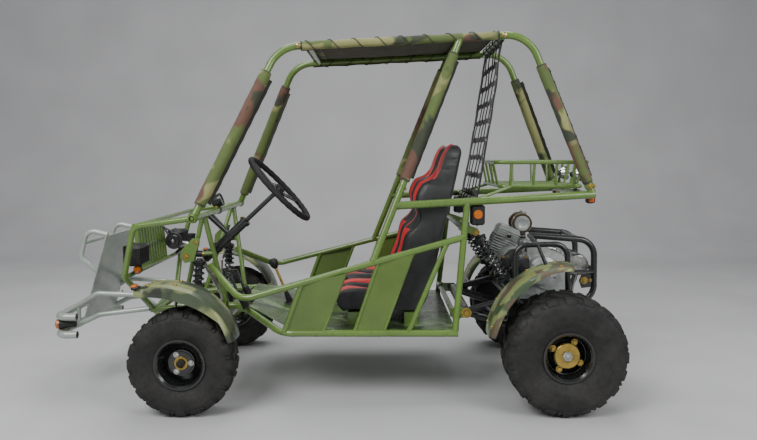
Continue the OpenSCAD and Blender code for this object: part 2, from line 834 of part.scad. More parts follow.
module engine_guard() {
    color("black") {
        both() {
            pipe([re(195, guard_y, 444), re(205, guard_y, 719), re(-40, guard_y, 724), re(-50, guard_y, 454),
                re(38, 262, 404)], 13, 60);
            pipe([re(100, 170, 744), re(-220, 170, 719), re(-226, 170, 414), re(-132, 168, 414)], 15, 80);
            bar(re(100, 168, 744), re(100, guard_y, 722), 11);
            bar(re(-222, 172, 564), re(-47, guard_y, 594), 9);
        }
        cross_bar(re(-223, 170, 574), 12);
        cross_bar(re(-150, 170, 724), 12.5);
    }
}

lower_frame();
side_frame();  // side_frame_left
mirror([0, 1, 0]) side_frame();  // side_frame_right
door_panels();
floor_pan();
hood_rail();  // hood_rail_left
mirror([0, 1, 0]) hood_rail();  // hood_rail_right
front_frame();
rear_frame();
cage_side();  // cage_left
mirror([0, 1, 0]) cage_side();  // cage_right
cage_bars();
pillar_pads();
roof_canopy();
rear_net();
front_bumper();
bumper_shield();
grille();
headlamps();
marker_lamps();
rear_rack();
rear_lamps();
seats();
seat_mounts();
pedals();
shift_lever();
steering_column();
rack_housing();
front_arms();
front_shocks();
swing_arm();
rear_shocks();
engine_block();
engine_cylinder();
air_cleaner();
exhaust();
chain_case();
engine_guard();
rear_fenders();
steering_wheel();
steering_shaft();
tie_rods();
knuckle();  // knuckle_left
mirror([0, 1, 0]) knuckle();  // knuckle_right
front_fender();  // front_fender_left
mirror([0, 1, 0]) front_fender();  // front_fender_right
front_rim();  // front_rim_left
mirror([0, 1, 0]) front_rim();  // front_rim_right
tyre(wf(0, front_y, front_r), front_r, front_tyre_w);  // front_tyre_left
tyre(wf(0, -front_y, front_r), front_r, front_tyre_w);  // front_tyre_right
rear_axle();
rear_rim();  // rear_rim_left
mirror([0, 1, 0]) rear_rim();  // rear_rim_right
tyre(wr(0, rear_y, rear_r), rear_r, rear_tyre_w);  // rear_tyre_left
tyre(wr(0, -rear_y, rear_r), rear_r, rear_tyre_w);  // rear_tyre_right
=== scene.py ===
import math

import bmesh
import bpy
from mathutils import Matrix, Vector, noise


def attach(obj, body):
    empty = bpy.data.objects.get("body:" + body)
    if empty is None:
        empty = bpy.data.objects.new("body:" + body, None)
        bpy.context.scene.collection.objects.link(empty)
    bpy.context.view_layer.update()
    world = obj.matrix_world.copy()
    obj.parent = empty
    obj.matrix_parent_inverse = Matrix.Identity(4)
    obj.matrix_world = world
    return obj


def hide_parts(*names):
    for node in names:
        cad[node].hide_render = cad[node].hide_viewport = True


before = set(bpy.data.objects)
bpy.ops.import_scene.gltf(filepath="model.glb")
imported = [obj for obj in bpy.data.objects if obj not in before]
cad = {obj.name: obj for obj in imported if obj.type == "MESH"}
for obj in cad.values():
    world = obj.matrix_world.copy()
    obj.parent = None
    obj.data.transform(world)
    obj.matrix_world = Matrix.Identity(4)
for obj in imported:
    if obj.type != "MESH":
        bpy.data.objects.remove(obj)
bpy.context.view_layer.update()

# in millimetres: X of the two axles and of the frame's front and rear datum, radii of wheels and
# rims, tyre widths, Y of the wheels, height of the floor
MM = 0.001
AXLE_F, AXLE_R = 621.0, -1055.0
DATUM_F, DATUM_R = 633.0, -1077.0
FRONT_R, REAR_R, RIM_R = 236.0, 268.0, 101.5
FRONT_W, REAR_W = 178.0, 254.0
FRONT_Y, REAR_Y = 580.0, 555.0
FLOOR_TOP = 345.0
SIDES = (1, -1)
UP, AHEAD, LEFT = Vector((0, 0, 1)), Vector((1, 0, 0)), Vector((0, 1, 0))


def at(x, y, z):
    return Vector((x, y, z)) * MM


# points placed from the front and the rear axle, then from the front and the rear datum
def wf(dx, y, z):
    return at(AXLE_F + dx, y, z)


def wr(dx, y, z):
    return at(AXLE_R + dx, y, z)


def fr(dx, y, z):
    return at(DATUM_F + dx, y, z)


def re(dx, y, z):
    return at(DATUM_R + dx, y, z)


def lerp(a, b, t):
    return a + (b - a) * t


def along_x(a, b, x):
    return lerp(a, b, (x * MM - a.x) / (b.x - a.x))


def along_z(a, b, z):
    return lerp(a, b, (z * MM - a.z) / (b.z - a.z))


def mm(*row):
    """Pairs of (along, radius) in metres from a row of millimetres."""
    return [(a * MM, b * MM) for a, b in zip(row[::2], row[1::2])]


def side_way(angle):
    """Direction at an angle in the side plane, from ahead towards up."""
    return AHEAD * math.cos(angle) + UP * math.sin(angle)


# corners of the tube frame, on its left side
A_BASE, ROOF_FRONT = fr(-53, 530, 859), fr(-410, 310, 1634)
ROOF_REAR, C_BASE = re(150, 310, 1692), re(-150, 360, 956)
LOW_REAR, LOW_FRONT = re(480, 480, 332), fr(-431, 480, 332)
LOW_RAMP, LOW_NOSE = fr(-200, 240, 412), fr(250, 200, 382)
DECK_REAR, POST_LOW, POST_TOP = re(-160, 360, 956), re(494, 480, 332), re(436, 409, 925)
DOOR_LOW, DOOR_REAR = fr(-257, 530, 494), along_z(POST_LOW, POST_TOP, 764)
B_BASE = along_x(DOOR_LOW, DOOR_REAR, DATUM_R + 869)
B_TOP = along_x(ROOF_FRONT, ROOF_REAR, DATUM_R + 464)
DECK_FRONT = along_z(B_BASE, B_TOP, 908)
WHEEL_MID, COLUMN = fr(-393, 225, 976), Vector((0.73, 0, -0.683)).normalized()


def rgb(text):
    """A colour written as six hex digits, as linear light."""
    parts = [int(text[i:i + 2], 16) / 255 for i in (0, 2, 4)]
    return (*[c / 12.92 if c <= 0.04045 else ((c + 0.055) / 1.055) ** 2.4 for c in parts], 1.0)


def shade(colour, k):
    return (*[min(1.0, c * k) for c in colour[:3]], 1.0)


def placed(name, data):
    """A new object in the scene."""
    made = bpy.data.objects.new(name, data)
    bpy.context.scene.collection.objects.link(made)
    return made


class Look:
    """A material whose colour, roughness and relief come from nodes."""

    SOCKETS = {"metal": "Metallic", "coat": "Coat Weight", "coat_rough": "Coat Roughness",
               "sheen": "Sheen Weight", "clear": "Transmission Weight",
               "specular": "Specular IOR Level", "ior": "IOR"}

    def __init__(self, name, **sockets):
        self.mat = bpy.data.materials.new(name)
        self.mat.use_nodes = True
        self.tree = self.mat.node_tree
        self.shader = self.tree.nodes["Principled BSDF"]
        self.place = self.node("ShaderNodeTexCoord").outputs["Object"]
        self.relief = None
        for key, value in sockets.items():
            self.shader.inputs[self.SOCKETS[key]].default_value = value

    def node(self, kind, sockets=(), **values):
        """A new node with its settings, and what goes into its sockets."""
        made = self.tree.nodes.new(kind)
        for key, value in values.items():
            setattr(made, key, value)
        for key, value in dict(sockets).items():
            self.put(made.inputs[key], value)
        return made

    def put(self, socket, value):
        if isinstance(value, bpy.types.NodeSocket):
            self.tree.links.new(value, socket)
        else:
            socket.default_value = value

    def moved(self, shift, stretch):
        sockets = {"Location": shift, "Scale": stretch, "Vector": self.place}
        return self.node("ShaderNodeMapping", sockets).outputs["Vector"]

    def noise(self, scale, detail=3.0, rough=0.5, warp=0.0, place=None):
        sockets = {"Scale": scale, "Detail": detail, "Roughness": rough, "Distortion": warp,
                   "Vector": place or self.place}
        return self.node("ShaderNodeTexNoise", sockets).outputs["Fac"]

    def cells(self, scale, feature="F1"):
        sockets = {"Scale": scale, "Vector": self.place}
        return self.node("ShaderNodeTexVoronoi", sockets, feature=feature).outputs["Distance"]

    def bands(self, scale, direction):
        sockets = {"Scale": scale, "Vector": self.place}
        return self.node("ShaderNodeTexWave", sockets, bands_direction=direction).outputs["Fac"]

    def ramp(self, fac, stops):
        n = self.node("ShaderNodeValToRGB", {"Fac": fac})
        marks = n.color_ramp.elements
        while len(marks) < len(stops):
            marks.new(0.5)
        for mark, (place, colour) in zip(marks, stops):
            mark.position, mark.color = place, colour
        return n.outputs["Color"]

    def span(self, fac, low, high):
        sockets = {"Value": fac, "From Min": 0.3, "From Max": 0.7, "To Min": low, "To Max": high}
        return self.node("ShaderNodeMapRange", sockets).outputs["Result"]

    def tone(self, fac, colour, low, high, end=0.7):
        """The colour, from a darker to a lighter share of it."""
        return self.ramp(fac, [(0.3, shade(colour, low)), (end, shade(colour, high))])

    def mix(self, fac, a, b, blend="MIX"):
        sockets = {0: fac, 6: a, 7: b}
        return self.node("ShaderNodeMix", sockets, data_type="RGBA", blend_type=blend).outputs[2]

    def larger(self, a, b):
        return self.node("ShaderNodeMath", {0: a, 1: b}, operation="MAXIMUM").outputs[0]

    def colour(self, value):
        self.put(self.shader.inputs["Base Color"], value)
        return self

    def rough(self, value):
        self.put(self.shader.inputs["Roughness"], value)
        return self

    def bump(self, height, strength, depth):
        sockets = {"Strength": strength, "Distance": depth, "Height": height}
        if self.relief:
            sockets["Normal"] = self.relief
        self.relief = self.node("ShaderNodeBump", sockets).outputs["Normal"]
        self.put(self.shader.inputs["Normal"], self.relief)
        return self

    def weave(self, scale, strength, depth):
        warp = self.larger(self.bands(scale, "X"), self.bands(scale, "Z"))
        return self.bump(self.larger(warp, self.bands(scale, "Y")), strength, depth)


def paint(name, colour, rough=0.3, coat=0.5, metal=0.0):
    """Gloss or satin paint: slow drift of tone, fine scuffs, orange peel."""
    n = Look(name, coat=coat, coat_rough=0.18, metal=metal)
    tone = n.tone(n.noise(7, 4), colour, 0.84, 1.1)
    scuff = n.ramp(n.noise(60, 6, 0.7), [(0.62, (0, 0, 0, 1)), (0.78, (0.5, 0.5, 0.5, 1))])
    n.colour(n.mix(scuff, tone, shade(colour, 1.7)))
    n.rough(n.span(n.noise(35, 5, 0.6), rough - 0.08, rough + 0.14))
    return n.bump(n.noise(420, 2), 0.06, 0.0006).mat


def blotches(n, base, patches):
    """Colour patches laid one over the other: tone, size in patches a metre, level, shift."""
    colour = base
    for tone, scale, level, shift in patches:
        place = n.moved(shift=shift, stretch=(1.0, 1.25, 1.0))
        spot = n.noise(scale, 2.0, 0.45, 0.5, place)
        mask = n.ramp(spot, [(level - 0.022, (0, 0, 0, 1)), (level + 0.022, (1, 1, 1, 1))])
        colour = n.mix(mask, colour, tone)
    return colour


def camo(name, base, patches, rough, cloth):
    n = Look(name, sheen=0.1 if cloth else 0.0, coat=0.0 if cloth else 0.35, coat_rough=0.25)
    colour = blotches(n, base, patches)
    fade = n.ramp(n.noise(5, 5, 0.6), [(0.3, (0.72, 0.72, 0.72, 1)), (0.7, (1.0, 1.0, 1.0, 1))])
    n.colour(n.mix(1.0, colour, fade, "MULTIPLY"))
    n.rough(n.span(n.noise(45, 5), rough - 0.08, rough + 0.1))
    if cloth:
        n.weave(230, 0.35, 0.0006)
        n.bump(n.noise(34, 4), 0.4, 0.002)
    else:
        n.bump(n.noise(260, 2), 0.08, 0.0006)
    return n.mat


def cloth(name, colour, rough=0.85, scale=200, sheen=0.2):
    n = Look(name, sheen=sheen)
    n.colour(n.tone(n.noise(14, 5, 0.6), colour, 0.72, 1.2))
    n.rough(n.span(n.noise(80, 3), rough - 0.08, rough + 0.08))
    n.weave(scale, 0.5, 0.0008)
    return n.bump(n.noise(26, 4), 0.35, 0.002).mat


def vinyl(name, colour, rough=0.42):
    n = Look(name, specular=0.45, sheen=0.12)
    n.colour(n.tone(n.noise(11, 5, 0.6), colour, 0.8, 1.25, 0.72))
    n.rough(n.span(n.noise(50, 4), rough - 0.07, rough + 0.16))
    n.bump(n.cells(520, "DISTANCE_TO_EDGE"), 0.25, 0.0007)
    return n.bump(n.noise(22, 4), 0.2, 0.003).mat


def rubber(name, colour, rough=0.72, dust=None):
    n = Look(name, specular=0.35)
    tone = n.tone(n.noise(16, 6, 0.65), colour, 0.7, 1.4)
    if dust:
        cover = n.ramp(n.noise(7, 6, 0.65, 0.4), [(0.45, (0, 0, 0, 1)), (0.75, (0.55, 0.55, 0.55, 1))])
        tone = n.mix(cover, tone, dust)
    n.colour(tone)
    n.rough(n.span(n.noise(70, 4), rough - 0.12, rough + 0.14))
    return n.bump(n.noise(330, 4), 0.18, 0.0009).mat


def alloy(name, colour, rough=0.42, cast=0.3, metal=0.85):
    n = Look(name, metal=metal)
    n.colour(n.tone(n.noise(24, 6, 0.65), colour, 0.68, 1.12))
    n.rough(n.span(n.noise(55, 5), rough - 0.12, rough + 0.16))
    return n.bump(n.noise(480, 3), cast, 0.0008).mat


def plastic(name, colour, rough=0.45, grain=0.12):
    n = Look(name, specular=0.45)
    n.colour(n.tone(n.noise(20, 5), colour, 0.78, 1.3))
    n.rough(n.span(n.noise(40, 4), rough - 0.1, rough + 0.14))
    return n.bump(n.cells(700), grain, 0.0006).mat


def lens(name, colour, clear=0.35, rough=0.12):
    n = Look(name, clear=clear, coat=0.6, coat_rough=0.05, ior=1.45)
    n.colour(n.tone(n.noise(90, 2), colour, 0.85, 1.1))
    n.rough(n.span(n.noise(30, 2), rough - 0.04, rough + 0.08))
    return n.bump(n.larger(n.bands(45, "Y"), n.bands(45, "Z")), 0.35, 0.001).mat


def carried(path, closed=False):
    """Tangent and two side directions at each point of a path, turned as little as possible."""
    n = len(path)
    ways = []
    for i in range(n):
        a = path[i - 1] if closed or i > 0 else path[i]
        b = path[(i + 1) % n] if closed or i < n - 1 else path[i]
        ways.append((b - a).normalized())
    first = UP if abs(ways[0].z) < 0.9 else AHEAD
    u = ways[0].cross(first).normalized()
    frames = []
    for t in ways:
        u = (u - t * u.dot(t)).normalized()
        frames.append((t, u, t.cross(u)))
    return frames


def circle(n, start=0.0):
    return [(math.cos(start + 2 * math.pi * k / n),
             math.sin(start + 2 * math.pi * k / n)) for k in range(n)]


def hoop(mid, u, v, r, n):
    """Points of a circle round mid, in the plane of u and v."""
    return [mid + (u * c + v * s) * r for c, s in circle(n)]


def axes_from(axis):
    axis = axis.normalized()
    u = axis.cross(UP if abs(axis.z) < 0.9 else AHEAD).normalized()
    return u, axis.cross(u), axis


def spline(points, per):
    """Points along a smooth curve through the given ones."""
    out = []
    for i in range(len(points) - 1):
        p0, p1 = points[max(i - 1, 0)], points[i]
        p2, p3 = points[i + 1], points[min(i + 2, len(points) - 1)]
        for k in range(per):
            t = k / per
            out.append(0.5 * (2 * p1 + (p2 - p0) * t + (2 * p0 - 5 * p1 + 4 * p2 - p3) * t * t
                              + (3 * p1 - p0 - 3 * p2 + p3) * t ** 3))
    out.append(points[-1])
    return out


class Form:
    """A mesh in the making: points, faces and the material number of each face."""

    def __init__(self):
        self.points, self.faces, self.kinds = [], [], []

    def add(self, points, faces, kind=0):
        base = len(self.points)
        self.points += [tuple(p) for p in points]
        self.faces += [[base + i for i in f] for f in faces]
        self.kinds += kind if isinstance(kind, list) else [kind] * len(faces)

    def loft(self, rings, kind=0, closed=False, around=True, caps=True):
        """Skin over rings of equal count; kind is a number or a function of ring and step."""
        n, m = len(rings[0]), len(rings)
        faces, kinds = [], []
        for i in range(m if closed else m - 1):
            for j in range(n if around else n - 1):
                k = (i + 1) % m
                faces.append((i * n + j, i * n + (j + 1) % n, k * n + (j + 1) % n, k * n + j))
                kinds.append(kind(i, j) if callable(kind) else kind)
        if caps and around and not closed:
            faces += [tuple(range(n - 1, -1, -1)), tuple((m - 1) * n + j for j in range(n))]
            kinds += [kind(0, 0) if callable(kind) else kind] * 2
        self.add([p for r in rings for p in r], faces, kinds)

    def tube(self, path, r, sides=10, closed=False, kind=0):
        """Round bar along a path; r is one radius or a list of them."""
        radii = r if isinstance(r, list) else [r] * len(path)
        rings = []
        for p, q, (_, u, v) in zip(path, radii, carried(path, closed)):
            rings.append(hoop(p, u, v, q, sides))
        self.loft(rings, kind, closed)

    def rod(self, a, b, r, sides=12, kind=0):
        self.tube([a, b], r, sides, kind=kind)

    def lathe(self, mid, axis, profile, turns=28, kind=0, closed=False):
        """Profile of (along, radius) spun about an axis; a closed profile is a ring."""
        u, v, w = axes_from(axis)
        rings = [hoop(mid + w * h, u, v, r, turns) for h, r in profile]
        self.loft(rings, kind, closed)

    def collar(self, mid, axis, half, r_in, r_out, turns, kind=0, edge=1):
        """Closed band round a bar, sized in millimetres: half its width, radii, chamfer."""
        profile = mm(-half, r_in, edge - half, r_out, half - edge, r_out, half, r_in)
        self.lathe(mid, axis, profile, turns, kind, True)

    def block(self, mid, half, axes=(AHEAD, LEFT, UP), soft=0.2, kind=0):
        """Box of half sides in millimetres; soft is the chamfer as a share of the shortest one."""
        half = [side * MM for side in half]
        c = soft * min(half)
        rings = []
        for z, inset in ((-half[2], c), (-half[2] + c, 0), (half[2] - c, 0), (half[2], c)):
            x, y = half[0] - inset, half[1] - inset
            ring = [(x, y - c), (x - c, y), (c - x, y), (-x, y - c), (-x, c - y), (c - x, -y),
                    (x - c, -y), (x, c - y)]
            rings.append([mid + axes[0] * px + axes[1] * py + axes[2] * z for px, py in ring])
        self.loft(rings, kind)

    def bolt(self, p, axis, r=0.007, kind=0):
        """Hexagon head on a washer."""
        self.lathe(p, axis, [(-0.0006, r * 1.5), (r * 0.28, r * 1.5), (r * 0.3, r * 0.6)], 16, kind)
        self.lathe(p, axis, [(0, r), (r * 0.85, r), (r, r * 0.82)], 6, kind)

    def band(self, path, across, width, thick, kind=0):
        """Flat strap along a path; across is one direction or a list of them."""
        rings = []
        for i, (p, (t, _, _)) in enumerate(zip(path, carried(path))):
            w = across[i] if isinstance(across, list) else across
            w = (w - t * w.dot(t)).normalized() * (width / 2)
            n = t.cross(w).normalized() * (thick / 2)
            rings.append([p - w - n * 0.4, p - w * 0.9 - n, p + w * 0.9 - n, p + w - n * 0.4,
                          p + w + n * 0.4, p + w * 0.9 + n, p - w * 0.9 + n, p - w + n * 0.4])
        self.loft(rings, kind)

    def coil(self, a, b, r, wire, turns, kind=0, per=18, sides=8):
        """Spring between two points, its ends laid flat."""
        u, v, w = axes_from(b - a)
        long = (b - a).length
        count = int(turns * per)
        path = []
        for i in range(count + 1):
            t = i / count
            x = min(max((t - 0.06) / 0.88, 0), 1) * (long - 2 * wire) + wire
            c = 2 * math.pi * turns * t
            path.append(a + w * x + (u * math.cos(c) + v * math.sin(c)) * r)
        self.tube(path, wire, sides, kind=kind)

    def mirrored(self):
        """Adds the mirror image across the kart's middle."""
        n = len(self.points)
        self.points += [(x, -y, z) for x, y, z in self.points]
        self.faces += [[n + i for i in reversed(f)] for f in self.faces]
        self.kinds += self.kinds
        return self

    def make(self, name, looks, body, slot, replaces=(), sharp=38):
        mesh = bpy.data.meshes.new(name)
        mesh.from_pydata(self.points, [], self.faces)
        for look in looks:
            mesh.materials.append(look)
        mesh.polygons.foreach_set("material_index", self.kinds)
        mesh.polygons.foreach_set("use_smooth", [True] * len(self.faces))
        bm = bmesh.new()
        bm.from_mesh(mesh)
        bmesh.ops.recalc_face_normals(bm, faces=bm.faces)
        bm.to_mesh(mesh)
        bm.free()
        mesh.set_sharp_from_angle(angle=math.radians(sharp))
        piece = placed(name, mesh)
        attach(piece, body)
        if replaces:
            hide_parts(*replaces)
        return piece


def wobble(p, size, amount):
    """A smooth small offset that depends only on the place."""
    return noise.noise(p / size) * amount


# camera, floor and light
camera = placed("camera", bpy.data.cameras.new("camera"))
camera.data.lens = 33.53
camera.data.sensor_width = 36.0
camera.data.shift_x = -0.002
camera.location = (-0.243, 3.62, 1.128)
camera.rotation_euler = (math.radians(84.9), 0, math.radians(180))
bpy.context.scene.camera = camera

floor_look = Look("studio_floor")
floor_look.colour(floor_look.ramp(floor_look.noise(1.5, 3),
                                  [(0.3, rgb("b9b9ba")), (0.7, rgb("c2c2c3"))]))
floor_look.rough(floor_look.span(floor_look.noise(6, 3), 0.55, 0.7))
sweep = []
for i in range(19):
    turn = math.radians(90 * i / 18)
    sweep.append((-4.0 - 2.0 * math.sin(turn), 2.0 - 2.0 * math.cos(turn)))
line = [(14.0, 0.0)] + sweep + [(-6.0, 9.0)]
backdrop = bpy.data.meshes.new("backdrop")
backdrop.from_pydata([(x, y, z) for y, z in line for x in (-16.0, 16.0)], [],
                     [(2 * i, 2 * i + 1, 2 * i + 3, 2 * i + 2) for i in range(len(line) - 1)])
backdrop.materials.append(floor_look.mat)
backdrop.polygons.foreach_set("use_smooth", [True] * len(backdrop.polygons))
studio = placed("backdrop", backdrop)

# lights: place, aim, size, power
LIGHTS = [((2.6, 4.2, 4.6), (0, 0, 0.7), 3.0, 300), ((-3.6, 3.4, 3.0), (-0.4, 0, 0.7), 2.6, 130),
          ((0, -1.2, 5.2), (0, 0, 0.6), 4.0, 170)]
for i, (place, aim, size, power) in enumerate(LIGHTS):
    lamp = placed(f"light_{i}", bpy.data.lights.new(f"light_{i}", "AREA"))
    lamp.data.size, lamp.data.energy = size, power
    lamp.location = place
    lamp.rotation_euler = (Vector(aim) - Vector(place)).to_track_quat("-Z", "Y").to_euler()
world = bpy.data.worlds.new("studio")
world.use_nodes = True
glow = world.node_tree.nodes["Background"].inputs
glow["Color"].default_value = (0.62, 0.63, 0.65, 1)
glow["Strength"].default_value = 0.42
bpy.context.scene.world = world

# finishes
GREEN = paint("green_paint", rgb("5d7a33"), 0.28, 0.6)
PANEL = paint("panel_paint", rgb("587030"), 0.36, 0.3)
SILVER = paint("silver_paint", rgb("a3aca3"), 0.34, 0.3, 0.25)
BLACK = paint("black_paint", rgb("1b1c1c"), 0.3, 0.4)
RIM = paint("rim_paint", rgb("121313"), 0.22, 0.7)
ZINC = alloy("yellow_zinc", rgb("b59a50"), 0.32, 0.1)
STEEL = alloy("bright_steel", rgb("b4b4ae"), 0.3, 0.1)
CAST = alloy("cast_alloy", rgb("b7bcb9"), 0.46, 0.4, 0.55)
CHROME = alloy("chrome", rgb("d8dadb"), 0.12, 0.02, 1.0)
BRONZE = alloy("filter_mesh", rgb("5a4a33"), 0.5, 0.6, 0.4)
RUBBER = rubber("black_rubber", rgb("202020"))
TYRE = rubber("tyre_rubber", rgb("232322"), 0.7, rgb("403e39"))
PLASTIC = plastic("black_plastic", rgb("1c1d1d"))
AMBER = lens("amber_lens", rgb("e0781c"))
RED_LENS = lens("red_lens", rgb("b01a14"))
GLASS = lens("clear_lens", rgb("e6ebec"), 0.85, 0.06)
WEB = cloth("black_webbing", rgb("1e201c"), 0.85, 160)
OLIVE = cloth("olive_lining", rgb("4a4a3b"), 0.9, 190, 0.0)
BINDING = cloth("dark_binding", rgb("2b2d24"), 0.85, 180)
VINYL = vinyl("black_vinyl", rgb("232524"))
RED = vinyl("red_vinyl", rgb("c0282a"), 0.38)
KHAKI, LEAF, BROWN, DARK = rgb("92935f"), rgb("5f6f3a"), rgb("6a4c3c"), rgb("3a4030")
CAMO = camo("camo_cloth", LEAF, [(KHAKI, 5.6, 0.53, (3, 1, 7)), (BROWN, 5.2, 0.56, (11, 5, 2)),
                                (DARK, 7.0, 0.60, (6, 9, 4))], 0.8, True)
CAMO_GREY = camo("camo_fender", rgb("4b573f"), [(rgb("8b9360"), 6.0, 0.54, (2, 4, 1)),
                                               (rgb("2f372b"), 6.5, 0.53, (8, 3, 5))], 0.42, False)
CAMO_LIGHT = camo("camo_rear", rgb("86915a"), [(rgb("44573a"), 6.5, 0.51, (5, 7, 3)),
                                              (rgb("62533f"), 7.0, 0.56, (1, 2, 9))], 0.45, False)
CAMO_FLOOR = camo("camo_floor", rgb("4f6b34"), [(rgb("7f9a6a"), 6.0, 0.56, (4, 2, 6)),
                                               (rgb("37452c"), 7.0, 0.56, (9, 5, 1))], 0.3, False)

NODE_LOOKS = {
    GREEN: ["lower_frame", "side_frame_left", "side_frame_right", "hood_rail_left", "hood_rail_right",
            "front_frame", "rear_frame", "cage_left", "cage_right", "cage_bars", "grille", "rear_rack",
            "seat_mounts", "front_arms"],
    PANEL: ["door_panels"],
    CAMO_FLOOR: ["floor_pan"],
    SILVER: ["front_bumper", "bumper_shield"],
    BLACK: ["pedals", "steering_column", "steering_shaft", "swing_arm", "chain_case", "engine_guard"],
    CAST: ["engine_block", "engine_cylinder"],
    STEEL: ["exhaust", "rack_housing", "tie_rods", "knuckle_left", "knuckle_right", "rear_axle"],
    RIM: ["front_rim_left", "front_rim_right", "rear_rim_left", "rear_rim_right"],
}
for look, names in NODE_LOOKS.items():
    for name in names:
        cad[name].data.materials.clear()
        cad[name].data.materials.append(look)


# cloth roof: wrapped round both rails, a little slack between the cross bars
ROOF_START, ROOF_END, ROOF_BARS = 0.09, 0.88, (0.12, 0.727, 0.9)
ROOF_HALF, HEM = 0.310, 0.055
WRAP_R, WRAP_TURN, WRAP_STEPS, TOP_STEPS = 0.0196, 200.0, 20, 40
LACE_R, LACE_TURNS, LACE_STEPS = 0.0225, 8, 24


def roof_point(t, y, lift):
    p = lerp(ROOF_FRONT, ROOF_REAR, t)
    along = (ROOF_REAR - ROOF_FRONT).normalized()
    rise = Vector((-along.z, 0, along.x)) if along.x > 0 else Vector((along.z, 0, -along.x))
    return Vector((p.x, y, p.z)) + rise * lift


def roof_slack(t):
    """How far the cloth drops between the bars on either side of t, from 0 to 1."""
    for a, b in zip(ROOF_BARS, ROOF_BARS[1:]):
        if a < t < b:
            return math.sin(math.pi * (t - a) / (b - a)) * min(1.0, (b - a) / 0.5)
    return 0.0


def roof_row(t):
    """Points across the roof, from under the left rail over the top to under the right rail."""
    row = []
    for k in range(WRAP_STEPS + 1):
        a = math.radians(WRAP_TURN * (1 - k / WRAP_STEPS))
        row.append((ROOF_HALF + WRAP_R * math.sin(a), WRAP_R * math.cos(a)))
    for k in range(1, TOP_STEPS):
        y = ROOF_HALF - 2 * ROOF_HALF * k / TOP_STEPS
        dip = 1 - (y / ROOF_HALF) ** 2
        row.append((y, WRAP_R - dip * (0.003 + 0.02 * roof_slack(t))))
    row += [(-y, z) for y, z in reversed(row[:WRAP_STEPS + 1])]
    out = []
    for y, z in row:
        p = roof_point(t, y, z)
        pull = 0.0012 * math.sin(t * 46) * math.exp(-((abs(y) - 0.29) / 0.05) ** 2)
        out.append(p + UP * (wobble(p, 0.09, 0.0014) + pull))
    return out


roof = Form()
steps = [ROOF_START + (ROOF_END - ROOF_START) * i / 72 for i in range(73)]


def roof_kind(i, j):
    """The hem at the front and the sides is camouflage inside too, the rest has a lining."""
    return 2 if steps[i] < ROOF_START + HEM or j < 22 or j > 58 else 0


roof.loft([roof_row(t) for t in steps], roof_kind, around=False, caps=False)
# outside, lining, and both faces of the hem
ROOF_LOOKS = [CAMO, OLIVE, CAMO, CAMO]
canopy = roof.make("roof_cloth", ROOF_LOOKS, "chassis", "camo_cloth", ["roof_canopy"], 60)
upward = bmesh.new()
upward.from_mesh(canopy.data)
if sum(f.normal.z * f.calc_area() for f in upward.faces) < 0:
    bmesh.ops.reverse_faces(upward, faces=upward.faces)
upward.to_mesh(canopy.data)
upward.free()
thick = canopy.modifiers.new("thick", "SOLIDIFY")
thick.thickness, thick.offset, thick.material_offset = 0.0026, -1.0, 1
trim = Form()
for t in (ROOF_START, ROOF_END):
    trim.tube(roof_row(t), 0.0034, 8)
for j in (0, -1):
    trim.tube([roof_row(t)[j] for t in steps], 0.0034, 8)
for s in SIDES:
    lace = []
    for i in range(LACE_TURNS * LACE_STEPS + 1):
        t = ROOF_START + 0.015 + (ROOF_END - ROOF_START - 0.03) * i / (LACE_TURNS * LACE_STEPS)
        a = 2 * math.pi * i / LACE_STEPS
        lace.append(roof_point(t, s * (ROOF_HALF + LACE_R * math.sin(a)), LACE_R * math.cos(a)))
    trim.tube(lace, 0.0021, 8)
edging = trim.make("roof_edging", [BINDING], "chassis", "camo_cloth")

# padded sleeves on the roll cage: tube ends, start and end along it, tube and sleeve radius
SLEEVES = [(A_BASE, ROOF_FRONT, 0.07, 0.85, 0.0173, 0.027), (B_BASE, B_TOP, 0.36, 0.93, 0.0163, 0.024),
           (ROOF_REAR, C_BASE, 0.19, 0.93, 0.0173, 0.025)]
FLAP_WAY = Vector((-1, -0.55, 0))
pads, ends = Form(), Form()
for a, b, t0, t1, r_in, r_out in SLEEVES:
    p, q = lerp(a, b, t0), lerp(a, b, t1)
    u, v, w = axes_from(q - p)
    long = (q - p).length
    count = int(long / 0.009)
    inner, outer = [], []
    for i in range(count + 1):
        x = long * i / count
        mid = p + w * x
        close = min(x, long - x)
        seam = ((x + 0.06) % 0.19 - 0.095) / 0.008
        pinch = math.exp(-close / 0.008) * 0.45 + 0.10 * math.exp(-seam ** 2)
        ring = []
        for c, s in circle(26):
            out = u * c + v * s
            swell = 1 - 0.16 * pinch / 0.45
            ring.append(mid + out * (r_out * swell + wobble(mid + out * r_out, 0.035, 0.0011)))
        outer.append(ring)
    for i in (count, 0):
        mid = p + w * (long * i / count)
        inner.append(hoop(mid, u, v, r_in + 0.0003, 26))
    pads.loft(outer + inner, 0, closed=True)
    for x in (0.006, long - 0.006):
        ends.tube(hoop(p + w * x, u, v, r_out * 0.86, 26), 0.0032, 8, True)
    away = (FLAP_WAY - w * FLAP_WAY.dot(w)).normalized()
    flap = []
    for i in range(31):
        x = 0.025 + (long - 0.05) * i / 30
        flap.append(p + w * x + away * (r_out + 0.007 + 0.001 * math.sin(i * 1.7)))
    ends.band(flap, away, 0.02, 0.003)
    for i in range(1, 30, 3):
        ends.tube([flap[i] + away * 0.006 + w * 0.004 * c + w.cross(away) * 0.0022 + away * 0.004 * s
                   for c, s in circle(10)], 0.0011, 6, True)
sleeves = pads.mirrored().make("pillar_sleeves", [CAMO], "chassis", "camo_cloth", ["pillar_pads"], 60)
ends.mirrored().make("sleeve_binding", [BINDING], "chassis", "camo_cloth")

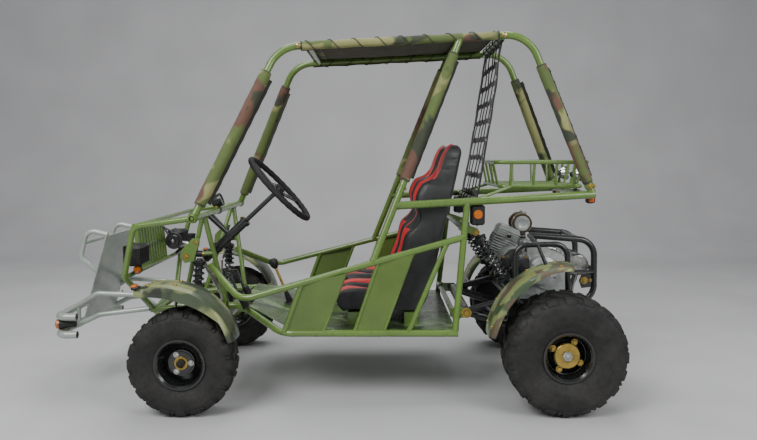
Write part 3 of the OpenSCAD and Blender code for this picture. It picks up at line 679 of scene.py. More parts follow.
# rear net of flat webbing, its rows laid like bricks
NET_TOP = along_x(ROOF_FRONT, ROOF_REAR, DATUM_R + 265)
NET_LOW = along_x(DECK_FRONT, DECK_REAR, DATUM_R + 385)
NET_HALF_LOW, NET_HALF_TOP = 0.283, 0.253
NET_ROWS, NET_COLUMNS = 9, 5


def net_point(t, y_share):
    """A place on the net: t from the bottom to the top, y_share from -1 to 1 across it."""
    low, high = NET_LOW + at(-6, 0, 8), NET_TOP + at(0, 0, -14)
    p = lerp(low, high, t)
    half = lerp(NET_HALF_LOW, NET_HALF_TOP, t)
    slack = 0.012 * math.sin(math.pi * t) * (1 - 0.5 * y_share ** 2)
    ripple = wobble(Vector((t, y_share, 0)), 0.16, 0.006)
    return Vector((p.x - slack, y_share * half, p.z)) + AHEAD * ripple


net = Form()
for s in SIDES:
    path = [net_point(i / 30, s) for i in range(31)]
    net.band(path, LEFT, 0.044, 0.0042)
    net.band([p - AHEAD * 0.0035 for p in path], LEFT, 0.024, 0.003)
    for i in range(2, 30, 3):
        for face in SIDES:
            net.lathe(path[i] + AHEAD * 0.0026 * face, AHEAD * face,
                      mm(0, 8.5, 1.8, 7.5, 2.2, 5, 1.2, 3.6, 0, 3.4), 14, 1, True)
for i in range(NET_ROWS):
    t = 0.02 + 0.96 * i / (NET_ROWS - 1)
    row = [net_point(t + 0.006 * math.sin(k * 1.9 + i), -1 + 2 * k / 24) for k in range(25)]
    net.band(row, UP, 0.024, 0.0034)
    if i == NET_ROWS - 1:
        break
    for k in range(NET_COLUMNS + i % 2):
        y = -1 + 2 * (k + 0.5 + (0 if i % 2 == 0 else -0.5)) / NET_COLUMNS
        if abs(y) > 0.93:
            continue
        drop = [net_point(t + 0.96 / (NET_ROWS - 1) * j / 4,
                          y + 0.012 * math.sin(j + i)) for j in range(5)]
        net.band([p + AHEAD * 0.003 for p in drop], LEFT, 0.024, 0.003)
for y in (-0.85, -0.4, 0.0, 0.4, 0.85):
    for t, hold in ((1.0, NET_TOP), (0.0, NET_LOW)):
        p = net_point(t, y)
        mid = Vector((hold.x, p.y, hold.z))
        net.tube(hoop(mid, AHEAD, UP, 0.0185, 18), 0.0032, 8, True)
net.make("net_webbing", [WEB, STEEL], "chassis", "net_black", ["rear_net"])

# bucket seats, in millimetres from the rear datum and the floor: front line x z, back line x z,
# half width, bolster height
SEAT_Y = 217.0
SEAT = [(1012, 70, 1004, 62, 150, 0), (1030, 98, 985, 60, 156, 5), (1027, 126, 970, 60, 160, 12),
        (1000, 143, 950, 60, 163, 22), (950, 140, 910, 60, 166, 33), (880, 128, 850, 60, 168, 42),
        (815, 118, 780, 60, 168, 52), (765, 116, 705, 60, 167, 62), (737, 132, 655, 64, 166, 72),
        (717, 166, 616, 100, 165, 78), (699, 230, 588, 190, 164, 76), (676, 310, 568, 280, 164, 68),
        (649, 400, 546, 380, 165, 72), (634, 450, 533, 435, 166, 44), (621, 490, 523, 480, 168, 34),
        (609, 530, 513, 525, 170, 58), (596, 570, 504, 565, 171, 78), (576, 630, 489, 625, 164, 72),
        (566, 660, 482, 655, 152, 48), (559, 685, 475, 680, 136, 22), (546, 725, 464, 725, 114, 8),
        (535, 765, 455, 768, 104, 6), (522, 800, 448, 804, 96, 5), (505, 828, 455, 827, 80, 3),
        (486, 839, 468, 839, 58, 0)]
# seams, as shares of the half width
INSERT, CHANNEL, CREST = 0.47, 0.63, 0.84
# shares of the seat's length where the headrest starts, and that the waist takes
HEADREST, WAIST = 0.77, (0.50, 0.62)
ACROSS, BEHIND, PER_ROW = 60, 14, 5


def seat_height(v, bolster):
    """Height of the padding above the seat's middle line at v, 0 at the middle and 1 at the side."""
    v = abs(v)
    rise = min(max((v - INSERT) / (1 - INSERT), 0), 1)
    top = math.sin(min(rise * 1.3, 1) * math.pi / 2) * (1 - 0.45 * max(0, (rise - 0.72) / 0.28) ** 2)
    crown = 0.010 * (1 - (v / INSERT) ** 2) if v < INSERT else 0.0
    seams = sum(math.exp(-((v - c) / 0.014) ** 2) for c in (INSERT, CHANNEL, CREST))
    return bolster * top + crown - 0.0042 * seams


def seat_kind(i, j):
    if j >= ACROSS:
        return 0
    v = abs(-1 + 2 * (j + 0.5) / ACROSS)
    share = i / (PER_ROW * (len(SEAT) - 1))
    if share > HEADREST:
        return 1 if v < 0.96 else 0
    if WAIST[0] < share < WAIST[1]:
        return 1 if CREST - 0.06 < v < CREST else 0
    return 1 if v < INSERT or CHANNEL < v < CREST else 0


def seat_form():
    form = Form()
    rows = spline([Vector(s[:3]) for s in SEAT], PER_ROW)
    rest = spline([Vector(s[3:]) for s in SEAT], PER_ROW)
    fronts = [at(DATUM_R + a.x, 0, FLOOR_TOP + a.y) for a in rows]
    backs = [at(DATUM_R + a.z, 0, FLOOR_TOP + b.x) for a, b in zip(rows, rest)]
    rings = []
    for i, (f, k) in enumerate(zip(fronts, backs)):
        way = (fronts[min(i + 1, len(fronts) - 1)] - fronts[max(i - 1, 0)]).normalized()
        out = LEFT.cross(way)
        if out.dot(f - k) < 0:
            out = -out
        half, bolster = rest[i].y * MM, rest[i].z * MM
        ring = []
        for j in range(ACROSS + 1):
            v = -1 + 2 * j / ACROSS
            p = f + LEFT * half * v + out * seat_height(v, bolster)
            ring.append(p + out * wobble(p, 0.06, 0.0016))
        for j in range(BEHIND + 1):
            v = 1 - 2 * j / BEHIND
            bulge = 1 - abs(v) ** 6
            ring.append(k + LEFT * half * (0.985 * v) + (f - k) * 0.22 * (1 - bulge))
        rings.append([p + LEFT * SEAT_Y * MM for p in ring])
    form.loft(rings, seat_kind)
    for c in (-CREST, -CHANNEL, -INSERT, INSERT, CHANNEL, CREST):
        j = round((c + 1) / 2 * ACROSS)
        form.tube([r[j] for r in rings[2:-2]], 0.0019, 6, kind=2)
    return form


seats = seat_form().mirrored().make("seat_shells", [VINYL, RED, BINDING], "chassis", "seat_black",
                                    ["seats"], 55)


# tyres: carcass, shoulder lugs that turn down the side, chevron lugs in the middle
LUGS, LUG_DEPTH = 20, 9.5


def tyre_outline(r, w):
    """Half outline of the tyre over its lugs, as (side, radius) from the middle to the bead."""
    b = RIM_R + 0.3
    return [(0, r), (w * 0.2, r), (w * 0.33, r - 2), (w * 0.42, r - 9), (w * 0.465, r - 22),
            (w * 0.49, lerp(b, r, 0.72)), (w * 0.5, lerp(b, r, 0.55)), (w * 0.49, lerp(b, r, 0.35)),
            (w * 0.405, b + 14), (w * 0.40, b)]


def outline_at(line, share):
    """A place along an outline by the share of its length, with the direction out of the tyre."""
    lengths = [math.dist(a, b) for a, b in zip(line, line[1:])]
    left = share * sum(lengths)
    for (a, b), long in zip(zip(line, line[1:]), lengths):
        if left <= long:
            k = left / long
            way = ((b[0] - a[0]) / long, (b[1] - a[1]) / long)
            return lerp(a[0], b[0], k), lerp(a[1], b[1], k), (-way[1], way[0])
        left -= long
    raise ValueError("share is past the end of the outline")


def tyre_form(r, w):
    form = Form()
    line = tyre_outline(r, w)
    shell = []
    for k in range(41):
        s, q, out = outline_at(line, min(k / 40, 0.9999))
        sink = LUG_DEPTH if k < 15 else LUG_DEPTH * max(0.0, 1 - (k - 15) / 6)
        rib = 1.1 if k in (27, 28, 33) else 0.0
        shell.append((s - out[0] * (sink - rib), q - out[1] * (sink - rib)))
    whole = shell + [(-s, q) for s, q in reversed(shell[1:])]
    whole += [(-w * 0.36, RIM_R + 0.3), (w * 0.36, RIM_R + 0.3)]
    form.lathe(Vector(), LEFT, [(s * MM, q * MM) for s, q in whole], 96, 0, True)

    def lug(turn, hand, start, end, lean, half, top):
        tops, rings = 7, []
        for k in range(tops):
            share = start + (end - start) * k / (tops - 1)
            s, q, out = outline_at(line, share)
            mid = turn + lean * k / (tops - 1)
            ring = []
            for edge, drop in ((-1.35, LUG_DEPTH + 2), (-1.0, 1.2), (-0.86, 0), (0.86, 0), (1.0, 1.2),
                               (1.35, LUG_DEPTH + 2)):
                sag = drop + (LUG_DEPTH * top if k in (0, tops - 1) else 0)
                a = mid + edge * half / q
                radius, across = (q - out[1] * sag) * MM, hand * (s - out[0] * sag) * MM
                ring.append(Vector((radius * math.cos(a), across, radius * math.sin(a))))
            rings.append(ring)
        form.loft(rings)

    pitch = 2 * math.pi / LUGS
    for i in range(LUGS):
        for hand in SIDES:
            base = i * pitch + (pitch / 2 if hand < 0 else 0)
            lug(base, hand, 0.30, 0.535 if i % 2 else 0.49, 0.0, 21, 0.35)
            lug(base + pitch * 0.30, hand, 0.02, 0.27, pitch * 0.34, 11, 0.25)
            if i % 2:
                lug(base + pitch * 0.5, hand, 0.40, 0.47, 0.0, 6, 0.3)
    return form


def put(form, mid, turn=1):
    """Moves a form from the origin to its place; turn of -1 mirrors it."""
    form.points = [(mid.x + x, mid.y + y * turn, mid.z + z) for x, y, z in form.points]
    return form


WHEELS = [("front", "left", wf(0, FRONT_Y, FRONT_R), FRONT_R, FRONT_W, "front_wheel_left"),
          ("front", "right", wf(0, -FRONT_Y, FRONT_R), FRONT_R, FRONT_W, "front_wheel_right"),
          ("rear", "left", wr(0, REAR_Y, REAR_R), REAR_R, REAR_W, "rear_axle_body"),
          ("rear", "right", wr(0, -REAR_Y, REAR_R), REAR_R, REAR_W, "rear_axle_body")]
for end, hand, mid, r, w, body in WHEELS:
    s = 1 if hand == "left" else -1
    put(tyre_form(r, w), mid).make(f"{end}_tread_{hand}", [TYRE], body, "tyre_black",
                                   [f"{end}_tyre_{hand}"], 32)
    hub = Form()
    out = LEFT * s
    if end == "front":
        face = mid + out * 0.038
        hub.lathe(face, out, mm(-1, 52, 3, 50, 5, 30, 5, 14), 36, 0)
        hub.lathe(face, out, mm(1, 31, 10, 29, 11, 22, 6, 20.5), 32, 1)
        hub.lathe(face, out, mm(2, 18.5, 19, 18.5, 22, 15, 22, 8), 6, 2)
        hub.lathe(face, out, mm(20, 7.5, 29, 7.5, 31, 5), 12, 2)
        for k in range(3):
            a = math.radians(60 + 120 * k) if s > 0 else math.radians(120 - 120 * k)
            hub.bolt(face + side_way(a) * 0.043 + out * 0.004, out, 0.0085, 3)
    else:
        face = mid + out * 0.072
        hub.lathe(face, out, mm(-10, 56, 1.5, 56, 4, 53, 4, 30, 2.5, 29, 2.5, 24), 40, 1)
        hub.lathe(face, out, mm(1, 23.5, 13, 23.5, 16, 20, 16, 10), 6, 3)
        hub.lathe(face, out, mm(12, 9.5, 21, 9.5, 23, 7), 14, 3)
        for k in range(4):
            a = math.radians(28 + 90 * k)
            spot = mid + out * 0.06 + side_way(a) * 0.068
            hub.lathe(spot, out, mm(-12, 16, 2, 15, 3, 12), 18, 0)
            hub.bolt(spot + out * 0.002, out, 0.0095, 1)
        hub.tube(hoop(mid + out * 0.0545, AHEAD, UP, 0.085, 64), 0.0026, 8, True)
    valve = mid + out * (0.05 if end == "front" else 0.075) + Vector((0.07, 0, 0.03))
    stem = [valve, valve + out * 0.012 + AHEAD * 0.006, valve + out * 0.024 + AHEAD * 0.014]
    hub.tube(stem, 0.0032, 8, kind=2)
    hub.make(f"{end}_hub_{hand}", [RIM, ZINC, RUBBER, STEEL], body, "steel_zinc")


def coil_over(form, top, low, r, turns):
    """Damper with its spring, collars and rubber eyes. Materials: spring, body, rod, rubber."""
    way = (low - top).normalized()
    long = (low - top).length
    form.lathe(top, way, [(0.05 * long, 0.010), (0.08 * long, 0.017), (0.34 * long, 0.017),
                          (0.35 * long, 0.014)], 22, 1)
    form.rod(top + way * long * 0.3, top + way * long * 0.93, 0.0085, 14, 2)
    form.lathe(top + way * long * 0.08, way,
               [(0, r * 0.62), (0.003, r + 0.003), (0.012, r + 0.003), (0.014, r * 0.7)], 26, 1)
    form.lathe(top + way * long * 0.73, way,
               [(0, r * 0.7), (0.002, r + 0.003), (0.010, r + 0.003), (0.024, r * 0.6)], 26, 1)
    form.lathe(top + way * long * 0.78, way, [(0, 0.017), (0.14 * long, 0.017), (0.16 * long, 0.012)],
               22, 1)
    form.coil(top + way * (long * 0.08 + 0.012), top + way * long * 0.73, r - 0.004, 0.0048, turns, 0)
    for p in (top, low):
        form.lathe(p - AHEAD * 0.013, AHEAD,
                   [(0, r * 0.34), (0, r * 0.58), (0.026, r * 0.58), (0.026, r * 0.34)], 20, 1, True)
        form.lathe(p - AHEAD * 0.015, AHEAD,
                   [(0, 0.006), (0.001, r * 0.36), (0.029, r * 0.36), (0.030, 0.006)], 16, 3)
        form.bolt(p + AHEAD * 0.0145, AHEAD, 0.0075, 4)
        form.bolt(p - AHEAD * 0.0145, -AHEAD, 0.0075, 4)


SHOCK_LOOKS = [BLACK, PLASTIC, CHROME, RUBBER, ZINC]
springs = Form()
coil_over(springs, fr(-25, 322, 674), wf(0, 392, 257), 0.027, 11)
springs.mirrored().make("front_springs", SHOCK_LOOKS, "chassis", "black_paint", ["front_shocks"])
springs = Form()
coil_over(springs, re(385, 300, 774), re(195, 300, 479), 0.032, 10)
springs.mirrored().make("rear_springs", SHOCK_LOOKS, "chassis", "black_paint", ["rear_shocks"])

# steering wheel in the frame of its column
TOP_WAY = Vector((-COLUMN.z, 0, COLUMN.x))


def wheel_way(angle):
    """Direction at an angle in the plane of the steering wheel, from its top."""
    return TOP_WAY * math.cos(angle) + LEFT * math.sin(angle)


def on_wheel(angle, r, along):
    return WHEEL_MID + wheel_way(angle) * r + COLUMN * along


def on_spoke(angle, t):
    """A place on a spoke: t from the hub to the rim."""
    return on_wheel(angle, 0.034 + 0.15 * t, 0.013 - 0.012 * t)


grip = Form()
rings = []
for i in range(120):
    a = 2 * math.pi * i / 120
    out = wheel_way(a)
    mid = on_wheel(a, 0.192, 0)
    ring = []
    for k, (c, s) in enumerate(circle(18)):
        ridge = 0.0009 * math.cos(i * math.pi / 2) if c < 0.3 else 0.0
        seam = -0.0012 if k in (8, 10) else 0.0
        ring.append(mid + (out * c + COLUMN * s) * (0.0138 + ridge + seam))
    rings.append(ring)
grip.loft(rings, 0, closed=True)
for k in range(3):
    a = 2 * math.pi * k / 3
    across = TOP_WAY * -math.sin(a) + LEFT * math.cos(a)
    spoke = [on_spoke(a, t) for t in (0, 0.25, 0.5, 0.75, 1.0)]
    for off in (-0.0115, 0.0115):
        grip.band([p + across * off for p in spoke], across, 0.012, 0.006, 1)
    for t in (0.02, 0.33, 0.66, 0.98):
        mid = on_spoke(a, t)
        grip.band([mid - across * 0.017, mid + across * 0.017], wheel_way(a), 0.014, 0.0055, 1)
grip.lathe(WHEEL_MID, COLUMN, mm(-4, 28, -1, 38, 4, 43, 24, 44, 30, 34), 36, 1)
grip.lathe(WHEEL_MID, -COLUMN, mm(2, 26, 10, 24, 12, 18), 30, 0)
for k in range(6):
    grip.bolt(on_wheel(math.pi / 6 + k * math.pi / 3, 0.034, -0.001), -COLUMN, 0.0035, 2)
grip.make("steering_grip", [RUBBER, BLACK, STEEL], "steering", "control_black", ["steering_wheel"])


def fender_form(mid, r, half, a0, a1, crown, lip, skirt):
    """Arched guard, crowned, with turned-down edges and a skirt on its outer side; degrees from +X."""
    form = Form()
    rings = []
    count = 44
    for i in range(count + 1):
        a = math.radians(lerp(a0, a1, i / count))
        out = side_way(a)
        end = min(i, count - i) / count
        round_off = 1 - 0.16 * max(0, 1 - end / 0.06) ** 2
        top = []
        for j in range(23):
            v = -1 + 2 * j / 22
            edge = max(0, (abs(v) - 0.88) / 0.12)
            hang = skirt * math.sin(math.pi * min(i / count * 1.25, 1.0)) ** 0.8 if v > 0 else 0.0
            height = r - crown * v * v - (lip + hang) * edge * edge
            height += 0.0035 * math.exp(-((abs(v) - 0.62) / 0.05) ** 2)
            top.append((v * half * round_off, height))
        ring = [mid + out * q + LEFT * y for y, q in top]
        under = [mid + out * (q - 0.0036) + LEFT * y * 0.985 for y, q in reversed(top)]
        rings.append(ring + under)
    form.loft(rings)
    return form


def fender_spot(mid, r, crown, angle, y):
    """A place on a guard, with the direction out of it."""
    out = side_way(math.radians(angle))
    return mid + out * (r - crown * (y / GUARD_HALF) ** 2) + LEFT * y, out


GUARD_HALF = 0.095
F_MID, F_R, F_CROWN = wf(64, FRONT_Y + 8, FRONT_R + 40), 0.312, 0.012
for hand, s in (("left", 1), ("right", -1)):
    guard = fender_form(F_MID, F_R, GUARD_HALF, 66, 168, F_CROWN, 0.012, 0.034)
    for angle in (77, 99):
        for y in (-0.05, 0.045):
            p, out = fender_spot(F_MID, F_R, F_CROWN, angle, y)
            guard.bolt(p, out, 0.0065, 1)
    p, out = fender_spot(F_MID, F_R, F_CROWN, 67.5, 0.035)
    guard.block(p + out * 0.010 + AHEAD * 0.006, (12, 22, 10), soft=0.4, kind=2)
    guard.block(p + out * 0.004 + AHEAD * 0.002, (14, 26, 6), soft=0.3, kind=3)
    put(guard, Vector(), s).make(f"front_guard_{hand}", [CAMO_GREY, ZINC, AMBER, PLASTIC],
                                 f"knuckle_{hand}_body", "camo_paint", [f"front_fender_{hand}"], 50)

GUARD_Y = REAR_Y - 40
R_MID, R_R, R_FALL = wr(-15, GUARD_Y, REAR_R + 45), 0.347, 0.014
guard = fender_form(R_MID, R_R, GUARD_HALF, 4, 93, 0.010, 0.012, 0.012)
for angle in (12, 30, 62, 84):
    for y in (-0.06, 0.06):
        p, out = fender_spot(R_MID, R_R, R_FALL, angle, y)
        guard.bolt(p, out, 0.0065, 1)
for start, angle, y in ((R_MID + at(322, 300 - GUARD_Y, 104), 21, 0.06),
                        (R_MID + at(92, 352 - GUARD_Y, 409), 76, -0.02)):
    p, out = fender_spot(R_MID, R_R - 0.004, R_FALL, angle, y)
    guard.rod(start, p, 0.008, 14, 2)
    guard.block(p - out * 0.002, (20, 20, 3), axes_from(out), 0.3, 2)
guard.mirrored().make("rear_guards", [CAMO_LIGHT, ZINC, BLACK], "chassis", "camo_paint",
                      ["rear_fenders"], 50)


def cover(form, mid, axis, r, depth, ribs, kind, bolt_kind):
    """Round cast cover with a rim, radial ribs, a boss and bolts."""
    outline = [(-0.002, r), (depth * 0.5, r), (depth * 0.7, r * 0.95), (depth * 0.7, r * 0.84),
               (depth, r * 0.76), (depth * 1.2, r * 0.34), (depth * 1.5, r * 0.31),
               (depth * 1.5, r * 0.12)]
    form.lathe(mid, axis, outline, 40, kind)
    u, v, w = axes_from(axis)
    for k in range(ribs):
        a = 2 * math.pi * k / ribs
        out = u * math.cos(a) + v * math.sin(a)
        line = ((0.34, 1.22), (0.55, 1.13), (0.76, 1.02))
        form.tube([mid + out * r * q + w * depth * h for q, h in line], 0.0026, 6, kind=kind)
    for k in range(6):
        a = 2 * math.pi * (k + 0.5) / 6
        out = u * math.cos(a) + v * math.sin(a)
        form.bolt(mid + out * r * 0.9 + w * depth * 0.68, w, 0.0045, bolt_kind)


def plate(form, outline, mid_y, thick, kind=0):
    """Flat plate facing Y, from an outline of x and z in millimetres."""
    rings = []
    cx = sum(p[0] for p in outline) / len(outline)
    cz = sum(p[1] for p in outline) / len(outline)
    for y, inset in ((-thick / 2, 0.985), (-thick / 2 + 0.8, 1.0), (thick / 2 - 0.8, 1.0),
                     (thick / 2, 0.985)):
        rings.append([at(cx + (x - cx) * inset, mid_y + y, cz + (z - cz) * inset) for x, z in outline])
    form.loft(rings, kind)


# headlamps with fins, bezel, glass and a side signal
LAMP = fr(262, 345, 674)
lamps = Form()
lamps.block(LAMP, (36, 74, 47), soft=0.32)
for k in range(6):
    lamps.block(LAMP + at(-36, -50 + 20 * k, 0), (4, 4, 38), soft=0.3)
lamps.block(LAMP + at(35.5, 0, 0), (3.5, 75.5, 48.5), soft=0.5)
lamps.block(LAMP + at(37.5, 0, 0), (2.2, 66, 39), soft=0.8, kind=1)
lamps.block(LAMP + at(35.0, 0, 0), (3.5, 60, 33), soft=0.5, kind=2)
lamps.tube([LAMP + at(-20, 0, -40), LAMP + at(-8, 0, -62), LAMP + at(26, 0, -93)], 0.008, 12)
lamps.bolt(LAMP + at(-4, 9, -64), LEFT, 0.008, 4)
signal = LAMP + at(-16, 40, -66)
lamps.lathe(signal, LEFT, mm(-12, 10, -8, 19, 6, 20, 8, 18), 24)
lamps.lathe(signal, LEFT, mm(4, 17.5, 16, 16.5, 23, 11, 25, 4), 24, 3)
lamps.rod(signal - LEFT * 0.008, LAMP + at(-14, 10, -56), 0.0055, 10)
lamps.mirrored().make("headlamp_units", [PLASTIC, GLASS, CHROME, AMBER, ZINC], "chassis", "lamp_black",
                      ["headlamps"], 35)

# marker lamps on the bumper: dark cone, amber lens, clamp
BAR_X = 671.4
marks = Form()
base = fr(BAR_X - 75, 262, 323)
marks.lathe(base, AHEAD, mm(0, 10, 2, 17, 30, 20, 68, 25.5, 74, 26.2, 76, 24), 30)
marks.lathe(base, AHEAD, mm(73, 24.5, 84, 25.5, 90, 21, 93.5, 12, 94, 3), 30, 1)
for q in (0.0215, 0.015, 0.008):
    marks.tube(hoop(base + AHEAD * (0.0945 - 7 * q * q), LEFT, UP, q, 28), 0.0009, 6, True, 1)
for z, way in ((26, 1), (-26, -1)):
    marks.tube([base + at(70, 0, z * 0.9), base + at(74, 0, z * 1.15), base + at(76, 0, z * 1.5)],
               0.006, 10, kind=0)
    marks.bolt(base + at(62, 0, z * 0.95), UP * way, 0.005, 2)
marks.mirrored().make("marker_units", [PLASTIC, AMBER, ZINC], "chassis", "lamp_amber", ["marker_lamps"])

# tail lamps under the deck rails and bright work lamps in the rack
RACK_Z = 1104.0
tails = Form()
tail = re(-150, 318, 930)
tails.block(tail, (17, 23, 18), soft=0.4)
tails.block(tail + at(-14, 0, 0), (6.5, 21.5, 16.5), soft=0.7, kind=1)
tails.block(tail + at(0, 20, 0), (12.5, 6.5, 13.5), soft=0.7, kind=2)
tails.rod(tail + at(0, 0, 14), tail + at(4, 12, 30), 0.006, 10)
tails.bolt(tail + at(0, -23, 4), -LEFT, 0.005, 5)
bowl = re(-110, 150, RACK_Z - 60)
tails.lathe(bowl, -AHEAD, mm(0, 8, 4, 17, 18, 27, 36, 34, 50, 37.2, 54, 38, 60, 38, 61, 35, 56, 34),
            40, 3)
tails.lathe(bowl, -AHEAD, mm(53, 34.5, 58, 31, 60.5, 18, 61, 4), 36, 4)
tails.lathe(bowl, AHEAD, mm(-4, 16, 8, 12, 12, 6), 20, 0)
tails.rod(re(-122, 150, RACK_Z - 88), re(-132, 150, 962), 0.006, 12)
tails.block(re(-132, 150, 966), (16, 14, 4.5), soft=0.3)
tails.bolt(re(-124, 150, RACK_Z - 96), -UP, 0.0065, 5)
tails.mirrored().make("rear_lamp_units", [PLASTIC, RED_LENS, AMBER, CHROME, GLASS, ZINC], "chassis",
                      "lamp_red", ["rear_lamps"])

# shift lever: gate, bellows, yellow rod, knob
lever = Form()
foot, head = fr(-421, 0, FLOOR_TOP + 1), fr(-330, 0, FLOOR_TOP + 225)
way = (head - foot).normalized()
lever.block(fr(-425, 0, FLOOR_TOP + 16), (54, 29, 15), soft=0.4)
lever.block(fr(-425, 0, FLOOR_TOP + 33), (46, 22, 2.5), soft=0.4, kind=2)
bellows = [(0.030 + 0.0045 * k, (0.021 if k % 2 else 0.0165) * (1 - 0.032 * k)) for k in range(15)]
lever.lathe(foot, way, bellows, 24, 3)
lever.rod(foot + way * 0.03, head, 0.0068, 16, 1)
lever.lathe(head, way, mm(-18, 9, -12, 14, -4, 19, 6, 22.5, 16, 24, 26, 22, 34, 15, 37, 6), 30, 0)
lever.lathe(head + way * 0.0355, way, mm(0, 9, 1.2, 8.5, 1.6, 3), 24, 2)
for y in (-20, 20):
    for dx in (-465, -385):
        lever.bolt(fr(dx, y, FLOOR_TOP + 31), UP, 0.0035, 4)
lever.make("shift_control", [PLASTIC, ZINC, BLACK, RUBBER, STEEL], "chassis", "control_black",
           ["shift_lever"])

# intake: ribbed drum filter lying across, with clamps, end cap, neck and carburettor
can = Form()
AIR = re(118, 0, 795)
ribs = [(-0.0302, 0.030), (-0.030, 0.046), (-0.027, 0.0492)]
for k in range(31):
    ribs.append((-0.022 + 0.0033 * k, 0.0500 if k % 2 else 0.0484))
ribs += [(0.082, 0.0492), (0.085, 0.046), (0.0852, 0.039)]
can.lathe(AIR, LEFT, ribs, 56, 0)
can.lathe(AIR, LEFT, mm(84.8, 38.5, 90, 38.5, 92.5, 36, 93, 24, 91.5, 22, 91.5, 4), 44, 3)
for q in (0.032, 0.028):
    can.tube(hoop(AIR + LEFT * 0.0932, AHEAD, UP, q, 40), 0.0011, 6, True, 3)
for h in (-0.021, 0.076):
    can.collar(AIR + LEFT * h, LEFT, 5, 50.2, 51.4, 48, 1, 0.5)
    can.block(AIR + LEFT * h + at(-14, 0, 51), (9, 6, 5), soft=0.3, kind=1)
    can.bolt(AIR + LEFT * h + at(-14, 0, 55), UP, 0.0042, 1)
for k in range(40):
    a = 2 * math.pi * k / 40
    b = a + 0.55
    can.rod(AIR + at(49.6 * math.cos(a), -20, 49.6 * math.sin(a)),
            AIR + at(49.6 * math.cos(b), 74, 49.6 * math.sin(b)), 0.0009, 5, 0)
neck_top, neck_low = re(110, 30, 770), re(95, 30, 622)
can.rod(neck_top, neck_low, 0.0172, 20, 2)
carb = lerp(neck_top, neck_low, 0.52)
can.block(carb, (27, 26, 23), soft=0.3, kind=3)
can.lathe(carb - UP * 0.022, -UP, mm(0, 19, 18, 18, 24, 11, 27, 6), 20, 3)
can.lathe(carb + LEFT * 0.025, LEFT, mm(0, 12, 10, 11, 12, 6), 18, 1)
axis = (neck_low - neck_top).normalized()
for t in (0.28, 0.88):
    p = lerp(neck_top, neck_low, t)
    can.collar(p, axis, 4, 17.8, 19.2, 28, 1, 0.5)
    can.bolt(p + LEFT * 0.0192, LEFT, 0.004, 1)
can.make("intake_filter", [BRONZE, STEEL, RUBBER, CAST], "chassis", "filter_bronze", ["air_cleaner"])

# engine covers, head and plug on the solid engine
engine = Form()
cover(engine, re(35, 205, 574), LEFT, 0.069, 0.012, 10, 0, 1)
cover(engine, re(180, 225, 614), LEFT, 0.072, 0.014, 8, 2, 3)
cover(engine, re(-10, -139, 564), -LEFT, 0.094, 0.012, 12, 0, 1)
engine.block(re(-70, 141, 500), (45, 6, 40), soft=0.4, kind=0)
for dx, z in ((-108, 468), (-108, 532), (-32, 468), (-32, 532)):
    engine.bolt(re(dx, 146, z), LEFT, 0.005, 1)
tilt = math.radians(22)
cyl_way = Vector((-math.sin(tilt), 0, math.cos(tilt)))
cyl_side = Vector((math.cos(tilt), 0, math.sin(tilt)))
cyl_axes = (cyl_side, LEFT, cyl_way)
cyl = re(255, 55, 584)
engine.block(cyl + cyl_way * 0.200, (50, 50, 9), cyl_axes, 0.5)
for a in SIDES:
    for b in SIDES:
        engine.bolt(cyl + cyl_way * 0.195 + cyl_side * 0.048 * a + LEFT * 0.049 * b, cyl_way, 0.0055, 1)
for k in range(7):
    p = cyl + cyl_way * 0.209 + cyl_side * (-0.042 + 0.014 * k)
    engine.rod(p - LEFT * 0.042, p + LEFT * 0.042, 0.0022, 6)
for k in range(4):
    engine.block(cyl + cyl_way * (0.153 + 0.011 * k), (61, 63, 1.9), cyl_axes, 0.5)
plug = cyl + cyl_way * 0.165 + LEFT * 0.060
engine.lathe(plug, LEFT, mm(-2, 11, 10, 11, 12, 7, 22, 6.5), 6, 1)
engine.lathe(plug + LEFT * 0.016, LEFT, mm(0, 9, 20, 9.5, 26, 7, 34, 5), 18, 4)
engine.make("engine_covers", [CAST, STEEL, BLACK, ZINC, RUBBER], "chassis", "engine_alloy")

# muffler seams and heat shield, in millimetres from the rear datum
MUFFLER_X, MUFFLER_Z, HEAT_SHIELD_R = -158, 589, 54
pipe = Form()
for y in (-146, -60, 40, 128):
    pipe.collar(re(MUFFLER_X, y, MUFFLER_Z), LEFT, 4, 47.5, 50.5, 44)
shield = []
for k in range(13):
    a = math.radians(70 + 110 * k / 12)
    shield.append((math.cos(a) * HEAT_SHIELD_R, math.sin(a) * HEAT_SHIELD_R))
rings = []
for y in (-120, -118, 98, 100):
    trim_y = 0.98 if abs(y + 10) > 109 else 1.0
    over = [re(MUFFLER_X + x * trim_y, y, MUFFLER_Z + z * trim_y) for x, z in shield]
    under = [re(MUFFLER_X + x * 0.96, y, MUFFLER_Z + z * 0.96) for x, z in reversed(shield)]
    rings.append(over + under)
pipe.loft(rings, 1)
for y in (-90, -30, 30, 80):
    for k in (3, 6, 9):
        x, z = shield[k]
        out = Vector((x, 0, z)).normalized()
        pipe.lathe(re(MUFFLER_X + x, y, MUFFLER_Z + z), out, mm(-1, 12, 1.4, 10.5, 0.4, 6), 18, 2)
out = side_way(1.9)
pipe.bolt(re(MUFFLER_X, -10, MUFFLER_Z) + out * HEAT_SHIELD_R * MM, out, 0.006, 2)
pipe.make("exhaust_trim", [STEEL, CHROME, BLACK], "chassis", "exhaust_silver")

